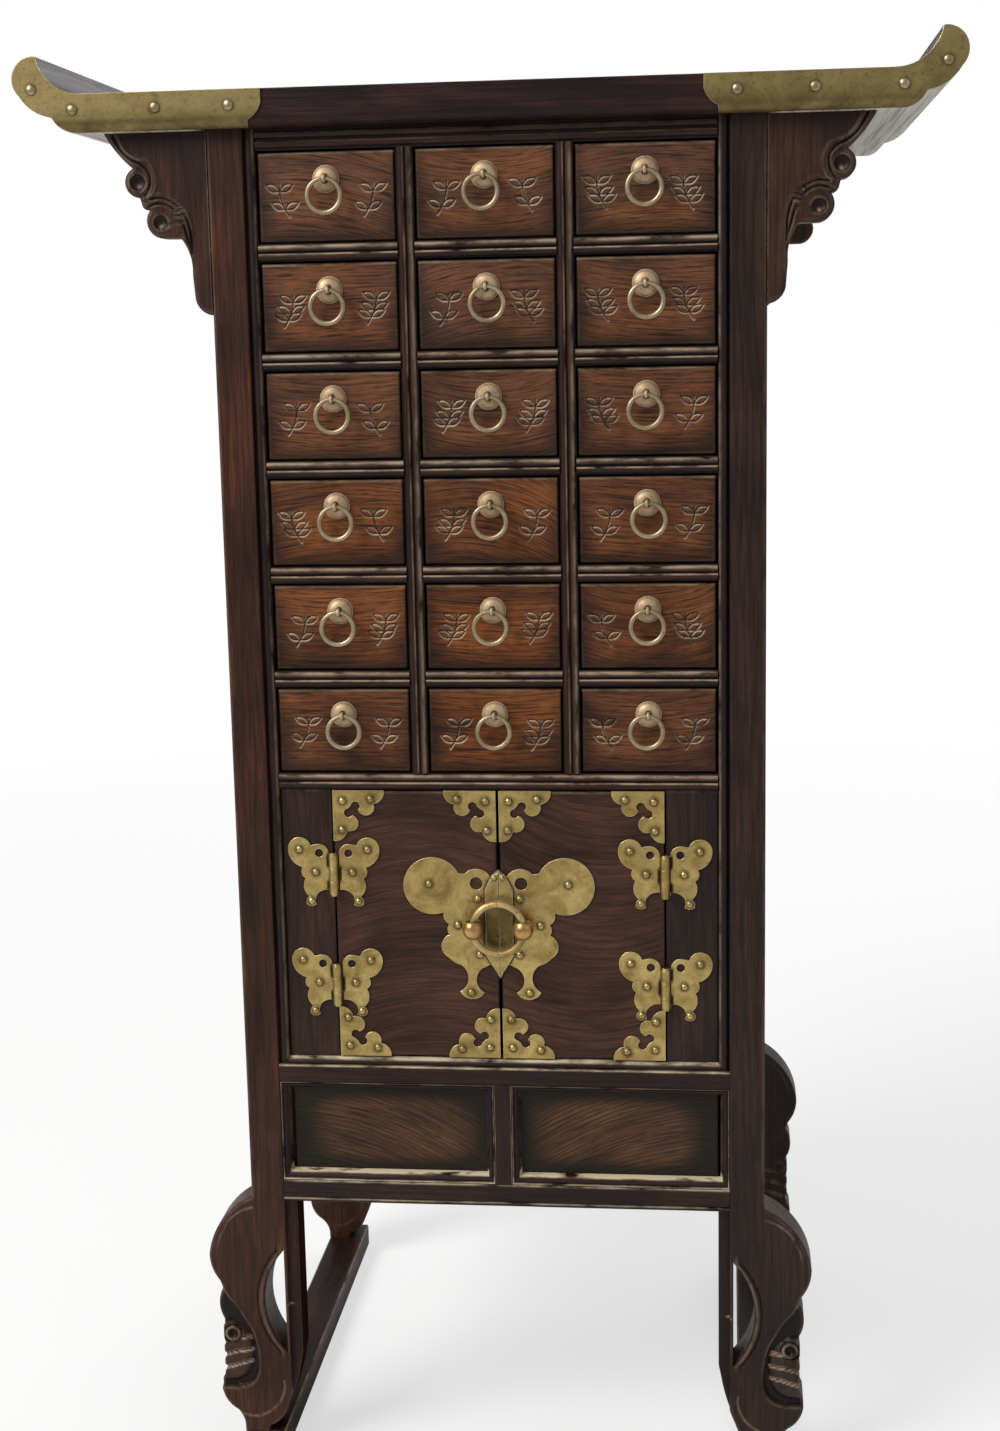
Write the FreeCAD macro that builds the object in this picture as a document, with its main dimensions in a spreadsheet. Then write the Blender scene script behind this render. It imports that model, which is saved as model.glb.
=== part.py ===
import FreeCAD, Part
import math
import os
import re

# A tall medicine cabinet: a post-and-rail case on carved legs, with small drawers above a pair of doors
# and a board top whose ends roll up. X runs across the front, Y from front to back, Z up; the origin is
# on the floor under the middle of the cabinet. Lengths are millimetres.

ROWS = 6
COLUMNS = 3

# Driving dimensions. Every other size and place is worked out from these.
SIZES = {
    # Case and its levels
    "carcass_width": 366.0,
    "carcass_depth": 363.0,
    "post_width": 32.0,
    "post_depth": 30.0,
    "leg_height": 201.0,
    "base_rail_height": 14.0,
    "skirt_opening_height": 74.0,
    "lower_rail_height": 18.0,
    "sill_bead_height": 7.0,
    "door_opening_height": 194.0,
    "rail_height": 11.5,
    "rail_depth": 24.0,
    "drawer_opening_height": 59.9,
    "top_rail_height": 13.6,
    "divider_width": 11.5,
    "muntin_width": 12.0,
    "bead_radius": 2.3,
    "bead_setback": 1.0,
    "edge_bead_width": 8.0,
    "edge_bead_depth": 4.5,
    "base_bead_radius": 1.6,
    # Boards of the case
    "side_panel_thickness": 18.0,
    "side_rail_height": 36.0,
    "back_rail_depth": 10.0,
    "back_panel_thickness": 8.0,
    "dust_board_thickness": 8.0,
    "floor_thickness": 8.0,
    "skirt_setback": 12.0,
    "skirt_panel_thickness": 8.0,
    "skirt_bevel": 8.0,
    "skirt_bevel_lip": 0.8,
    # Legs and runners
    "knee_reach": 33.3,
    "runner_height": 19.0,
    "runner_width": 30.0,
    "runner_inset": 14.0,
    # Top
    "top_length": 524.0,
    "top_thickness": 24.4,
    "top_overhang": 12.5,
    "top_edge_radius": 8.0,
    "scroll_reach": 45.0,
    "scroll_rise": 24.3,
    "wing_reach": 69.0,
    "wing_drop": 119.0,
    "wing_thickness": 20.0,
    # Drawers
    "drawer_setback": 4.0,
    "drawer_length": 300.0,
    "drawer_front_thickness": 14.0,
    "drawer_side_thickness": 7.0,
    "drawer_side_height": 50.0,
    "drawer_bottom_thickness": 5.0,
    "drawer_side_clearance": 0.8,
    "drawer_under_clearance": 0.5,
    "drawer_over_clearance": 1.1,
    "drawer_edge_round": 1.2,
    # Drawer pulls
    "pull_raise": 11.0,
    "dome_radius": 8.5,
    "dome_height": 5.0,
    "eye_reach": 8.0,
    "eye_wall": 1.1,
    "eye_width": 2.0,
    "eye_clearance": 0.4,
    "eye_stem_radius": 1.1,
    "ring_radius": 11.0,
    "ring_wire_radius": 1.35,
    # Doors and jambs
    "door_setback": 5.0,
    "door_thickness": 16.0,
    "door_gap": 2.0,
    "door_clearance": 1.0,
    "hinge_gap": 0.8,
    "door_edge_round": 1.0,
    "jamb_width": 36.0,
    # Brass
    "plate_thickness": 1.2,
    "nail_radius": 2.7,
    "nail_height": 1.8,
    "top_brass_length": 119.5,
    "brass_end_curl": 9.0,
    "corner_plate_size": 36.0,
    "upper_hinge_height": 133.5,
    "lower_hinge_height": 53.6,
    "leaf_width": 32.2,
    "barrel_length": 28.0,
    "barrel_radius": 3.0,
    "barrel_clearance": 0.4,
    "knuckle_length": 10.0,
    "knuckle_gap": 0.3,
    "pin_radius": 1.2,
    "pin_clearance": 0.05,
    "pin_head_radius": 2.4,
    "pin_head_height": 1.2,
    "lock_height": 97.0,
    "lock_half_width": 66.5,
    "strip_half_width": 9.6,
    "strip_thickness": 0.8,
    "brass_seam": 0.4,
    "door_ring_radius": 17.9,
    "door_ring_wire_radius": 2.35,
    "ball_radius": 6.0,
    "ball_reach": 8.6,
    "ball_inset": 0.4,
    "ball_clearance": 0.3,
    "ball_neck_radius": 2.6,
}

# Places that several pieces share, each from the sizes and the places above it.
PLACES = {
    "case_middle": "(plate_thickness + nail_height)/2",
    "front": "case_middle - carcass_depth/2",
    "rear": "case_middle + carcass_depth/2",
    "half_inside": "carcass_width/2 - post_width",
    "skirt_floor": "leg_height + base_rail_height",
    "lower_rail": "skirt_floor + skirt_opening_height",
    "door_sill": "lower_rail + lower_rail_height",
    "door_head": "door_sill + door_opening_height",
    "drawer_floor": "door_head + rail_height",
    "row_pitch": "drawer_opening_height + rail_height",
    "top_rail": f"drawer_floor + {ROWS}*row_pitch - rail_height",
    "case_top": "top_rail + top_rail_height",
    "column_width": f"(2*half_inside - {COLUMNS - 1}*divider_width)/{COLUMNS}",
    "column_pitch": "column_width + divider_width",
    "beads_front": "front + bead_setback",
    "rails_back": "beads_front + rail_depth",
    "back_board": "rear - back_rail_depth - back_panel_thickness",
    "top_front": "front - top_overhang",
    "top_depth": "carcass_depth + 2*top_overhang",
    "drawer_face": "front + drawer_setback",
    "drawer_width": "column_width - 2*drawer_side_clearance",
    "drawer_height": "drawer_opening_height - drawer_under_clearance - drawer_over_clearance",
    "eye_height": "drawer_opening_height/2 + pull_raise",
    "door_face": "front + door_setback",
    "hinge_line": "half_inside - jamb_width",
    "hinge_front": "door_face - barrel_radius - barrel_clearance",
    "plate_front": "door_face - plate_thickness",
    "ball_line": "door_ring_radius - ball_inset",
    "ball_front": "plate_front - ball_reach",
    "lock_middle": "door_sill + lock_height",
}

doc = FreeCAD.newDocument("apothecary_cabinet")
nodes = []


def written_sheet():
    """The spreadsheet of driving dimensions, one named cell each."""
    sheet = doc.addObject("Spreadsheet::Sheet", "sizes")
    for row, (word, value) in enumerate(SIZES.items(), start=1):
        sheet.set(f"A{row}", word)
        sheet.set(f"B{row}", str(value))
        sheet.setAlias(f"B{row}", word)
    doc.recompute()
    return sheet


def from_sheet(formula):
    """A formula of plain words, with each word pointed at its cell or its shared place."""
    def source(word):
        if word.group() in SIZES:
            return f"sizes.{word.group()}"
        if word.group() in PLACES:
            return f"places.{word.group()}"
        return word.group()
    return re.sub(r"[a-z][a-z_]+", source, formula)


def written_places():
    """A set of variables for the shared places, each bound to its formula."""
    places = doc.addObject("App::VarSet", "places")
    for word, formula in PLACES.items():
        places.addProperty("App::PropertyFloat", word, "Places")
        places.setExpression(word, from_sheet(formula))
    doc.recompute()
    return places


sizes = written_sheet()
places = written_places()


def length(word):
    """The number behind a size or a shared place."""
    return float(getattr(sizes if word in SIZES else places, word))


def bind(piece, formulas):
    """Tie properties of a piece to formulas of sizes and places."""
    for name, formula in formulas.items():
        piece.setExpression(name, from_sheet(formula))


def put(piece, corner):
    """Tie a piece's place to three formulas."""
    bind(piece, {f"Placement.Base.{axis}": formula for axis, formula in zip("xyz", corner)})
    return piece


def turned(piece, axis, degrees):
    """Turn a piece about one axis of the frame before it is put in its place."""
    piece.Placement = FreeCAD.Placement(FreeCAD.Vector(), FreeCAD.Rotation(FreeCAD.Vector(*axis), degrees))
    return piece


def board(name, corner, span):
    """A plain rectangular board."""
    piece = doc.addObject("Part::Box", name)
    bind(piece, dict(zip(("Length", "Width", "Height"), span)))
    return put(piece, corner)


def rod(name, radius, span, corner, axis=(0, 0, 1), degrees=0.0):
    """A round rod; it stands along Z unless it is turned."""
    piece = doc.addObject("Part::Cylinder", name)
    bind(piece, {"Radius": radius, "Height": span})
    turned(piece, axis, degrees)
    return put(piece, corner)


def dome(name, radius, height, corner):
    """A round cap whose flat side faces +Y and whose crown points at -Y."""
    piece = doc.addObject("Part::Sphere", name)
    ball = f"(({radius})^2 + ({height})^2)/(2*({height}))"
    bind(piece, {"Radius": ball, "Angle1": f"asin(1 - ({height})/({ball}))"})
    turned(piece, (1, 0, 0), 90.0)
    return put(piece, (corner[0], f"{corner[1]} + {ball} - ({height})", corner[2]))


def path_of(outline):
    """Lines and arcs round a closed outline.

    A step of the outline is a point, reached in a straight line, or a pair: a point on an arc and its end.
    """
    ends = [step[1] if isinstance(step[0], tuple) else step for step in outline]
    edges = []
    for index, step in enumerate(outline):
        start = FreeCAD.Vector(*ends[index - 1])
        end = FreeCAD.Vector(*ends[index])
        if isinstance(step[0], tuple):
            edges.append(Part.Arc(start, FreeCAD.Vector(*step[0]), end))
        else:
            edges.append(Part.LineSegment(start, end))
    return edges


def reshaped(outline, change):
    """The same outline with every point passed through a function of its two coordinates."""
    steps = []
    for step in outline:
        if isinstance(step[0], tuple):
            steps.append((change(*step[0]), change(*step[1])))
        else:
            steps.append(change(*step))
    return steps


def sawn(name, plane, outlines, thickness, corner, backwards=False, holes=()):
    """A piece sawn to an outline and of even thickness, with round holes where they are given."""
    body = doc.addObject("PartDesign::Body", name)
    sketch = body.newObject("Sketcher::SketchObject", f"{name}_outline")
    base = next(feature for feature in body.Origin.OriginFeatures if feature.Role == plane)
    sketch.AttachmentSupport = (base, [""])
    sketch.MapMode = "FlatFace"
    for outline in outlines:
        sketch.addGeometry(path_of(outline), False)
    for across, up, radius in holes:
        sketch.addGeometry(Part.Circle(FreeCAD.Vector(across, up), FreeCAD.Vector(0, 0, 1), radius), False)
    pad = body.newObject("PartDesign::Pad", f"{name}_pad")
    pad.Profile = sketch
    pad.Reversed = backwards
    bind(pad, {"Length": thickness})
    return put(body, corner)


def joined(kind, name, pieces):
    """One solid from two or more: kind is Part::Cut, Part::Common or Part::MultiFuse."""
    piece = doc.addObject(kind, name)
    if kind == "Part::MultiFuse":
        piece.Shapes = pieces
    else:
        piece.Base, piece.Tool = pieces
    return piece


def mirrored(name, source, normal=(1, 0, 0)):
    """The mirror image of a piece in the cabinet's middle plane, left to right or front to back."""
    piece = doc.addObject("Part::Mirroring", name)
    piece.Source = source
    piece.Normal = FreeCAD.Vector(*normal)
    bind(piece, {"Base.y": "case_middle"})
    return piece


def gathered(name, pieces, corner=("0", "0", "0")):
    """Several solids held as one object, moved together to a place."""
    piece = doc.addObject("Part::Compound", name)
    piece.Links = pieces
    return put(piece, corner)


def node(piece):
    """Mark a finished piece as one of the cabinet's named nodes."""
    nodes.append(piece)
    return piece


def eased(name, base, radius):
    """A board with its four front edges rounded over."""
    doc.recompute()
    front = base.Shape.BoundBox.YMin
    piece = doc.addObject("Part::Fillet", name)
    piece.Base = base
    piece.Edges = [
        (number, length(radius), length(radius))
        for number, edge in enumerate(base.Shape.Edges, start=1)
        if edge.BoundBox.YMax - front < length(radius)
    ]
    return piece


def nailed(name, nail, points, corner):
    """Copies of a nail head at points given across and up from a corner."""
    heads = []
    for number, (across, up) in enumerate(points, start=1):
        place = (f"{corner[0]} + ({across})", corner[1], f"{corner[2]} + ({up})")
        heads.append(gathered(f"{name}_nail_{number}", [nail], place))
    return heads


def beaded(height, depth):
    """Section of a rail with two half-round beads on its front, as (depth, height) points."""
    radius = length("bead_radius")
    quirk = (height - 4 * radius) / 3
    upper = 2 * (quirk + radius)
    return [
        (depth, 0.0),
        (radius, 0.0),
        (radius, quirk),
        ((0.0, quirk + radius), (radius, quirk + 2 * radius)),
        (radius, upper),
        ((0.0, upper + radius), (radius, upper + 2 * radius)),
        (radius, height),
        (depth, height),
    ]


def rounded_edge_section(height):
    """Section of the top, with its lower front and rear edges rounded, as (depth, height) points."""
    radius = length("top_edge_radius")
    depth = length("top_depth")
    bulge = radius * (1 - math.sqrt(0.5))
    return [
        (0.0, height),
        (0.0, radius),
        ((bulge, bulge), (radius, 0.0)),
        (depth - radius, 0.0),
        ((depth - bulge, bulge), (depth, radius)),
        (depth, height),
    ]


def scroll_point(out, up):
    """A point of the rolled end: shares of its reach, and of its rise or of the board's thickness."""
    height = length("top_thickness")
    height += up * length("scroll_rise" if up > 0 else "top_thickness")
    return (out * length("scroll_reach"), height)


SCROLL_LOWER = [
    ((0.32, -0.865), (0.436, -0.594)),
    ((0.70, -0.42), (0.909, -0.016)),
    ((1.0, 0.48), (0.645, 1.0)),
    ((0.498, 0.425), (0.0, 0.0)),
]


def build_top():
    """Top board, rolled ends and the brass plates on its front corners."""
    seat = ("-top_length/2", "top_front", "case_top")
    end = ("top_length/2", "top_front", "case_top")
    thickness = length("top_thickness")
    whole_height = thickness + length("scroll_rise")
    section = rounded_edge_section(thickness)
    node(sawn("top_panel", "YZ_Plane", [section], "top_length", seat))

    profile = reshaped([(0.0, -1.0), (0.11, -1.0)] + SCROLL_LOWER, scroll_point)
    rolled = sawn("scroll_profile", "XZ_Plane", [profile], "top_depth", end, backwards=True)
    rounded = sawn(
        "scroll_section", "YZ_Plane", [rounded_edge_section(whole_height)], "scroll_reach", end
    )
    right = joined("Part::Common", "scroll_right", [rolled, rounded])
    node(gathered("scroll_ends", [right, mirrored("scroll_left", right)]))

    inner = -length("top_brass_length")
    curl = length("brass_end_curl")
    brass_outline = [
        (inner, thickness),
        ((inner + 0.22 * curl, 0.45 * thickness), (inner + curl, 0.2 * thickness)),
        (inner + 1.06 * curl, 0.0),
        scroll_point(0.11, -1.0),
    ] + reshaped(SCROLL_LOWER, scroll_point)
    face = sawn("brass_profile", "XZ_Plane", [brass_outline], "top_depth/2", (
        "top_length/2", "top_front - plate_thickness", "case_top"), backwards=True)
    radius = length("top_edge_radius")
    outside = radius + length("plate_thickness")
    wrap = math.radians(60.0)

    def round_point(reach, turn):
        return (radius - reach * math.cos(turn), radius - reach * math.sin(turn))

    shell_section = [
        (0.0, whole_height),
        (0.0, radius),
        (round_point(radius, wrap / 2), round_point(radius, wrap)),
        round_point(outside, wrap),
        (round_point(outside, wrap / 2), (-length("plate_thickness"), radius)),
        (-length("plate_thickness"), whole_height),
    ]
    shell = sawn("brass_section", "YZ_Plane", [shell_section], "top_brass_length + scroll_reach", (
        "top_length/2 - top_brass_length", "top_front", "case_top"))
    plate = joined("Part::Common", "top_brass_right", [face, shell])
    nail = dome("nail", "nail_radius", "nail_height", ("0", "0", "0"))
    points = [
        ("0.72*scroll_reach", "top_thickness + 0.14*scroll_rise"),
        ("0.125*scroll_reach", "0.59*top_thickness"),
        ("-0.415*top_brass_length", "0.59*top_thickness"),
        ("-0.823*top_brass_length", "0.59*top_thickness"),
    ]
    corner = ("top_length/2", "top_front - plate_thickness", "case_top")
    set_right = gathered("top_brass_set", [plate] + nailed("top_brass", nail, points, corner))
    node(gathered("top_corner_brasses", [set_right, mirrored("top_brass_set_left", set_right)]))
    return nail


def leg_point(across, height):
    """A point of the post and leg as drawn: across from the post's outer face, height from the floor."""
    drawn_knee, drawn_post, drawn_runner, drawn_leg = 33.3, 32.0, 19.0, 201.0
    beyond = length("knee_reach") / drawn_knee if across > 0 else length("post_width") / drawn_post
    runner = length("runner_height")
    stretch = (length("leg_height") - runner) / (drawn_leg - drawn_runner)
    return (length("post_width") + across * beyond, runner + (height - drawn_runner) * stretch)


LEG_OUTLINE = [
    (0.0, 201.0),
    ((23.5, 181.5), (33.3, 156.0)),
    ((32.0, 146.5), (26.3, 135.6)),
    (24.2, 130.0),
    ((27.9, 120.5), (25.4, 105.0)),
    (25.6, 62.0),
    (27.6, 58.5),
    ((26.4, 45.0), (18.8, 35.8)),
    ((14.0, 30.2), (12.0, 23.0)),
    (12.0, 19.0),
    (-6.6, 19.0),
    (-6.6, 22.5),
    ((-15.0, 28.0), (-20.1, 37.0)),
    ((-26.0, 53.0), (-30.4, 72.0)),
    (-32.0, 80.0),
]
LEG_OPENING = [
    (-21.5, 163.0),
    ((-9.0, 122.0), (-21.5, 85.0)),
]


def build_posts():
    """Four posts that run down into carved legs, and the two floor runners under them."""
    corner = ("half_inside", "front", "0")
    top = length("case_top")
    outline = [(0.0, top), (length("post_width"), top)] + reshaped(LEG_OUTLINE, leg_point)
    opening = reshaped(LEG_OPENING, leg_point)
    post = sawn("post_blank", "XZ_Plane", [outline, opening], "post_depth", corner, backwards=True)
    rebates = gathered("post_rebates", [
        board(
            "bead_rebate",
            ("half_inside", "front", "door_sill - sill_bead_height"),
            ("edge_bead_width", "edge_bead_depth", "case_top - door_sill + sill_bead_height"),
        ),
        board(
            "surround_rebate",
            ("half_inside", "front", "skirt_floor"),
            ("edge_bead_width", "skirt_setback", "skirt_opening_height"),
        ),
        board(
            "leg_rebate",
            ("half_inside", "front", "runner_height"),
            ("edge_bead_width", "edge_bead_depth", "leg_height - runner_height"),
        ),
    ])
    front_right = joined("Part::Cut", "front_post_right", [post, rebates])
    node(gathered("front_posts", [front_right, mirrored("front_post_left", front_right)]))
    rear_right = mirrored("rear_post_right", post, (0, 1, 0))
    node(gathered("rear_posts", [rear_right, mirrored("rear_post_left", rear_right)]))
    runner = board(
        "runner_right",
        ("half_inside + runner_inset", "front", "0"),
        ("runner_width", "carcass_depth", "runner_height"),
    )
    node(gathered("foot_runners", [runner, mirrored("runner_left", runner)]))


WING_OUTLINE = [
    (0.0, 0.0),
    (69.0, 0.0),
    ((60.2, -13.0), (50.6, -22.6)),
    ((56.2, -32.2), (46.6, -41.6)),
    (45.4, -46.2),
    ((43.5, -49.0), (40.0, -49.4)),
    ((42.6, -58.4), (32.8, -68.2)),
    (20.0, -68.4),
    ((15.2, -77.0), (13.2, -92.0)),
    (12.0, -108.0),
    ((9.0, -114.5), (0.0, -119.0)),
]


def build_wings():
    """Scroll-edged wings that fill the corners under the overhanging top, on the four posts."""
    drawn_reach = WING_OUTLINE[1][0]
    drawn_drop = -WING_OUTLINE[-1][1][1]
    across = length("wing_reach") / drawn_reach
    down = length("wing_drop") / drawn_drop
    outline = reshaped(WING_OUTLINE, lambda out, up: (out * across, up * down))
    corner = ("carcass_width/2", "front", "case_top")
    right = sawn("wing_right", "XZ_Plane", [outline], "wing_thickness", corner, backwards=True)
    front = gathered("front_wings", [right, mirrored("wing_left", right)])
    node(gathered("bracket_wings", [front, mirrored("rear_wings", front, (0, 1, 0))]))


def build_case_boards():
    """Side and back boards, the rails planted on them, the dust boards and the cupboard's floor."""
    side = board(
        "side_panel_right",
        ("half_inside", "front + post_depth", "leg_height"),
        ("side_panel_thickness", "carcass_depth - 2*post_depth", "case_top - leg_height"),
    )
    node(gathered("side_panels", [side, mirrored("side_panel_left", side)]))
    node(board(
        "back_panel",
        ("-half_inside", "back_board", "leg_height"),
        ("2*half_inside", "back_panel_thickness", "case_top - leg_height"),
    ))
    levels = ("leg_height", "door_head - side_rail_height/2", "case_top - side_rail_height")
    side_rails = []
    back_rails = []
    for number, level in enumerate(levels, start=1):
        side_rails.append(board(
            f"side_rail_{number}",
            ("half_inside + side_panel_thickness", "front + post_depth", level),
            ("post_width - side_panel_thickness", "carcass_depth - 2*post_depth", "side_rail_height"),
        ))
        back_rails.append(board(
            f"back_rail_{number}",
            ("-half_inside", "rear - back_rail_depth", level),
            ("2*half_inside", "back_rail_depth", "side_rail_height"),
        ))
    right_rails = gathered("side_rails_right", side_rails)
    left_rails = mirrored("side_rails_left", right_rails)
    node(gathered("side_back_rails", [right_rails, left_rails] + back_rails))

    dust_depth = "back_board - rails_back"
    boards = [board(
        "drawer_shelf",
        ("-half_inside", "rails_back", "door_head"),
        ("2*half_inside", dust_depth, "rail_height"),
    )]
    for row in range(1, ROWS):
        for column in range(COLUMNS):
            boards.append(board(
                f"dust_board_{row}_{column + 1}",
                (
                    f"-half_inside + {column}*column_pitch",
                    "rails_back",
                    f"drawer_floor + {row}*row_pitch - dust_board_thickness",
                ),
                ("column_width", dust_depth, "dust_board_thickness"),
            ))
    node(gathered("dust_boards", boards))
    node(board(
        "cupboard_floor",
        ("-half_inside", "front + rail_depth", "door_sill - floor_thickness"),
        ("2*half_inside", "back_board - front - rail_depth", "floor_thickness"),
    ))


def build_front_frame():
    """Rails across the front, the upright dividers between the drawers, beads, jambs and skirt panels."""
    depth = length("rail_depth")
    section = beaded(length("rail_height"), depth)
    short_rail = sawn("drawer_rail", "YZ_Plane", [section], "column_width", ("0", "0", "0"))
    rails = [sawn("mid_rail", "YZ_Plane", [section], "2*half_inside", (
        "-half_inside", "beads_front", "door_head"))]
    for row in range(1, ROWS):
        for column in range(COLUMNS):
            rails.append(gathered(f"drawer_rail_{row}_{column + 1}", [short_rail], (
                f"-half_inside + {column}*column_pitch",
                "beads_front",
                f"drawer_floor + {row}*row_pitch - rail_height",
            )))
    top_section = beaded(length("top_rail_height"), depth)
    rails.append(sawn("head_rail", "YZ_Plane", [top_section], "2*half_inside", (
        "-half_inside", "beads_front", "top_rail")))

    height = length("lower_rail_height")
    bead = length("sill_bead_height")
    sill_section = [
        (depth, 0.0),
        (0.0, 0.0),
        (0.0, height - 1.07 * bead),
        (0.26 * bead, height - bead),
        ((0.37 * bead, height - 0.32 * bead), (0.9 * bead, height)),
        (depth, height),
    ]
    rails.append(sawn("sill_rail", "YZ_Plane", [sill_section], "2*half_inside", (
        "-half_inside", "front", "lower_rail")))
    radius = length("base_bead_radius")
    base_height = length("base_rail_height")
    base_section = [
        (depth, 0.0),
        (radius, 0.0),
        ((0.0, radius), (radius, 2 * radius)),
        (0.0, 2.5 * radius),
        (0.0, base_height),
        (depth, base_height),
    ]
    rails.append(sawn("base_rail", "YZ_Plane", [base_section], "2*half_inside", (
        "-half_inside", "front", "leg_height")))
    rails.append(board(
        "skirt_muntin",
        ("-muntin_width/2", "front", "skirt_floor"),
        ("muntin_width", "rail_depth", "skirt_opening_height"),
    ))
    surround = build_skirt_surround()
    rails.extend([surround, mirrored("skirt_surround_left", surround)])

    width = length("edge_bead_width")
    deep = length("edge_bead_depth")
    bead_section = [
        (0.06 * width, deep),
        ((0.5 * width, 0.13 * deep), (0.94 * width, deep)),
    ]
    edge_bead = sawn(
        "edge_bead_right", "XY_Plane", [bead_section], "case_top - door_sill + sill_bead_height",
        ("half_inside", "front", "door_sill - sill_bead_height"),
    )
    rails.extend([edge_bead, mirrored("edge_bead_left", edge_bead)])
    node(gathered("front_rails", rails))

    divider_depth = length("back_board") - length("beads_front")
    plan = reshaped(beaded(length("divider_width"), divider_depth), lambda back, across: (across, back))
    dividers = []
    for column in range(1, COLUMNS):
        dividers.append(sawn(f"divider_{column}", "XY_Plane", [plan], "top_rail - drawer_floor", (
            f"-half_inside + {column}*column_pitch - divider_width", "beads_front", "drawer_floor")))
    node(gathered("drawer_dividers", dividers))

    jamb = board(
        "jamb_right",
        ("hinge_line + hinge_gap/2", "door_face", "door_sill"),
        ("jamb_width - hinge_gap/2", "door_thickness", "door_opening_height"),
    )
    node(gathered("door_jambs", [jamb, mirrored("jamb_left", jamb)]))
    panel = board(
        "skirt_panel_right",
        ("muntin_width/2", "front + skirt_setback", "skirt_floor"),
        ("half_inside - muntin_width/2", "skirt_panel_thickness", "skirt_opening_height"),
    )
    node(gathered("skirt_panels", [panel, mirrored("skirt_panel_left", panel)]))


def build_skirt_surround():
    """The bevelled frame that slopes back from the skirt rails to a panel, on the right."""
    corner = ("muntin_width/2", "front + skirt_bevel_lip", "skirt_floor")
    span = (
        "half_inside + edge_bead_width - muntin_width/2",
        "skirt_setback - skirt_bevel_lip",
        "skirt_opening_height",
    )
    blank = board("skirt_surround_blank", corner, span)
    hollow = doc.addObject("Part::Wedge", "skirt_surround_hollow")
    bind(hollow, {
        "Xmin": "skirt_bevel_lip", "Xmax": f"{span[0]} - skirt_bevel_lip",
        "X2min": "skirt_bevel", "X2max": f"{span[0]} - skirt_bevel",
        "Ymin": "0", "Ymax": span[1],
        "Zmin": "skirt_bevel_lip", "Zmax": f"{span[2]} - skirt_bevel_lip",
        "Z2min": "skirt_bevel", "Z2max": f"{span[2]} - skirt_bevel",
    })
    put(hollow, corner)
    return joined("Part::Cut", "skirt_surround_right", [blank, hollow])


def build_drawers():
    """The drawers, each an open box with its pull plate, and the ring that hangs in each pull."""
    face = board(
        "drawer_front_board",
        ("-drawer_width/2", "drawer_face", "drawer_under_clearance"),
        ("drawer_width", "drawer_front_thickness", "drawer_height"),
    )
    inside = "drawer_face + drawer_front_thickness"
    run = "drawer_length - drawer_front_thickness"
    side = board(
        "drawer_side_right",
        ("drawer_width/2 - drawer_side_thickness", inside, "drawer_under_clearance"),
        ("drawer_side_thickness", run, "drawer_side_height"),
    )
    between = "drawer_width - 2*drawer_side_thickness"
    bottom = board(
        "drawer_bottom",
        (f"-({between})/2", inside, "drawer_under_clearance"),
        (between, run, "drawer_bottom_thickness"),
    )
    back = board(
        "drawer_back",
        (
            f"-({between})/2",
            "drawer_face + drawer_length - drawer_side_thickness",
            "drawer_under_clearance + drawer_bottom_thickness",
        ),
        (between, "drawer_side_thickness", "drawer_side_height - drawer_bottom_thickness"),
    )
    pieces = [
        eased("drawer_front", face, "drawer_edge_round"),
        side,
        mirrored("drawer_side_left", side),
        bottom,
        back,
        build_pull(),
    ]
    for row in range(ROWS):
        for column in range(COLUMNS):
            name = f"r{ROWS - row}_c{column + 1}"
            across = f"{column - (COLUMNS - 1) // 2}*column_pitch"
            up = f"drawer_floor + {row}*row_pitch"
            node(gathered(f"drawer_{name}", pieces, (across, "0", up)))
            ring = doc.addObject("Part::Torus", f"ring_{name}")
            bind(ring, {"Radius1": "ring_radius", "Radius2": "ring_wire_radius"})
            turned(ring, (1, 0, 0), 90.0)
            node(put(ring, (across, "drawer_face - eye_reach", f"{up} + eye_height - ring_radius")))


def build_pull():
    """A domed pull plate with the bored eye that carries a ring."""
    plate = dome("pull_dome", "dome_radius", "dome_height", ("0", "drawer_face", "eye_height"))
    stem_length = "eye_reach - dome_height/2 - ring_wire_radius - eye_clearance - eye_wall/2"
    stem = rod("pull_stem", "eye_stem_radius", stem_length, (
        "0", "drawer_face - dome_height/2", "eye_height"), (1, 0, 0), 90.0)
    centre = ("-eye_width/2", "drawer_face - eye_reach", "eye_height")
    eye = rod("pull_eye", "ring_wire_radius + eye_clearance + eye_wall", "eye_width", centre, (0, 1, 0), 90.0)
    bore = rod("pull_bore", "ring_wire_radius + eye_clearance", "eye_width", centre, (0, 1, 0), 90.0)
    return joined("Part::Cut", "pull", [joined("Part::MultiFuse", "pull_blank", [plate, stem, eye]), bore])


# Brass outlines as drawn, in millimetres from a hinge's axis, a door's corner or the middle of the lock.
DRAWN_LEAF = 32.2
DRAWN_CORNER = 36.0
DRAWN_LOCK = 66.5
DRAWN_STRIP = 9.6
LEAF_OUTLINE = [
    (3.6, 14.2),
    ((6.0, 19.4), (11.6, 21.1)),
    (16.2, 20.2),
    ((24.0, 25.9), (32.2, 17.7)),
    ((30.6, 11.0), (22.2, 4.5)),
    ((23.2, 0.6), (20.3, -3.4)),
    ((21.9, -9.0), (17.9, -16.6)),
    ((20.2, -19.2), (20.0, -22.0)),
    ((16.6, -23.4), (13.2, -22.0)),
    ((13.9, -18.6), (12.6, -15.0)),
    ((9.0, -12.2), (3.6, -11.6)),
]
LEAF_NAILS = [(24.0, 17.4), (12.9, 1.1), (16.6, -19.8)]
LEAF_HOLE = (10.3, 14.8, 2.9)


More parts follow.
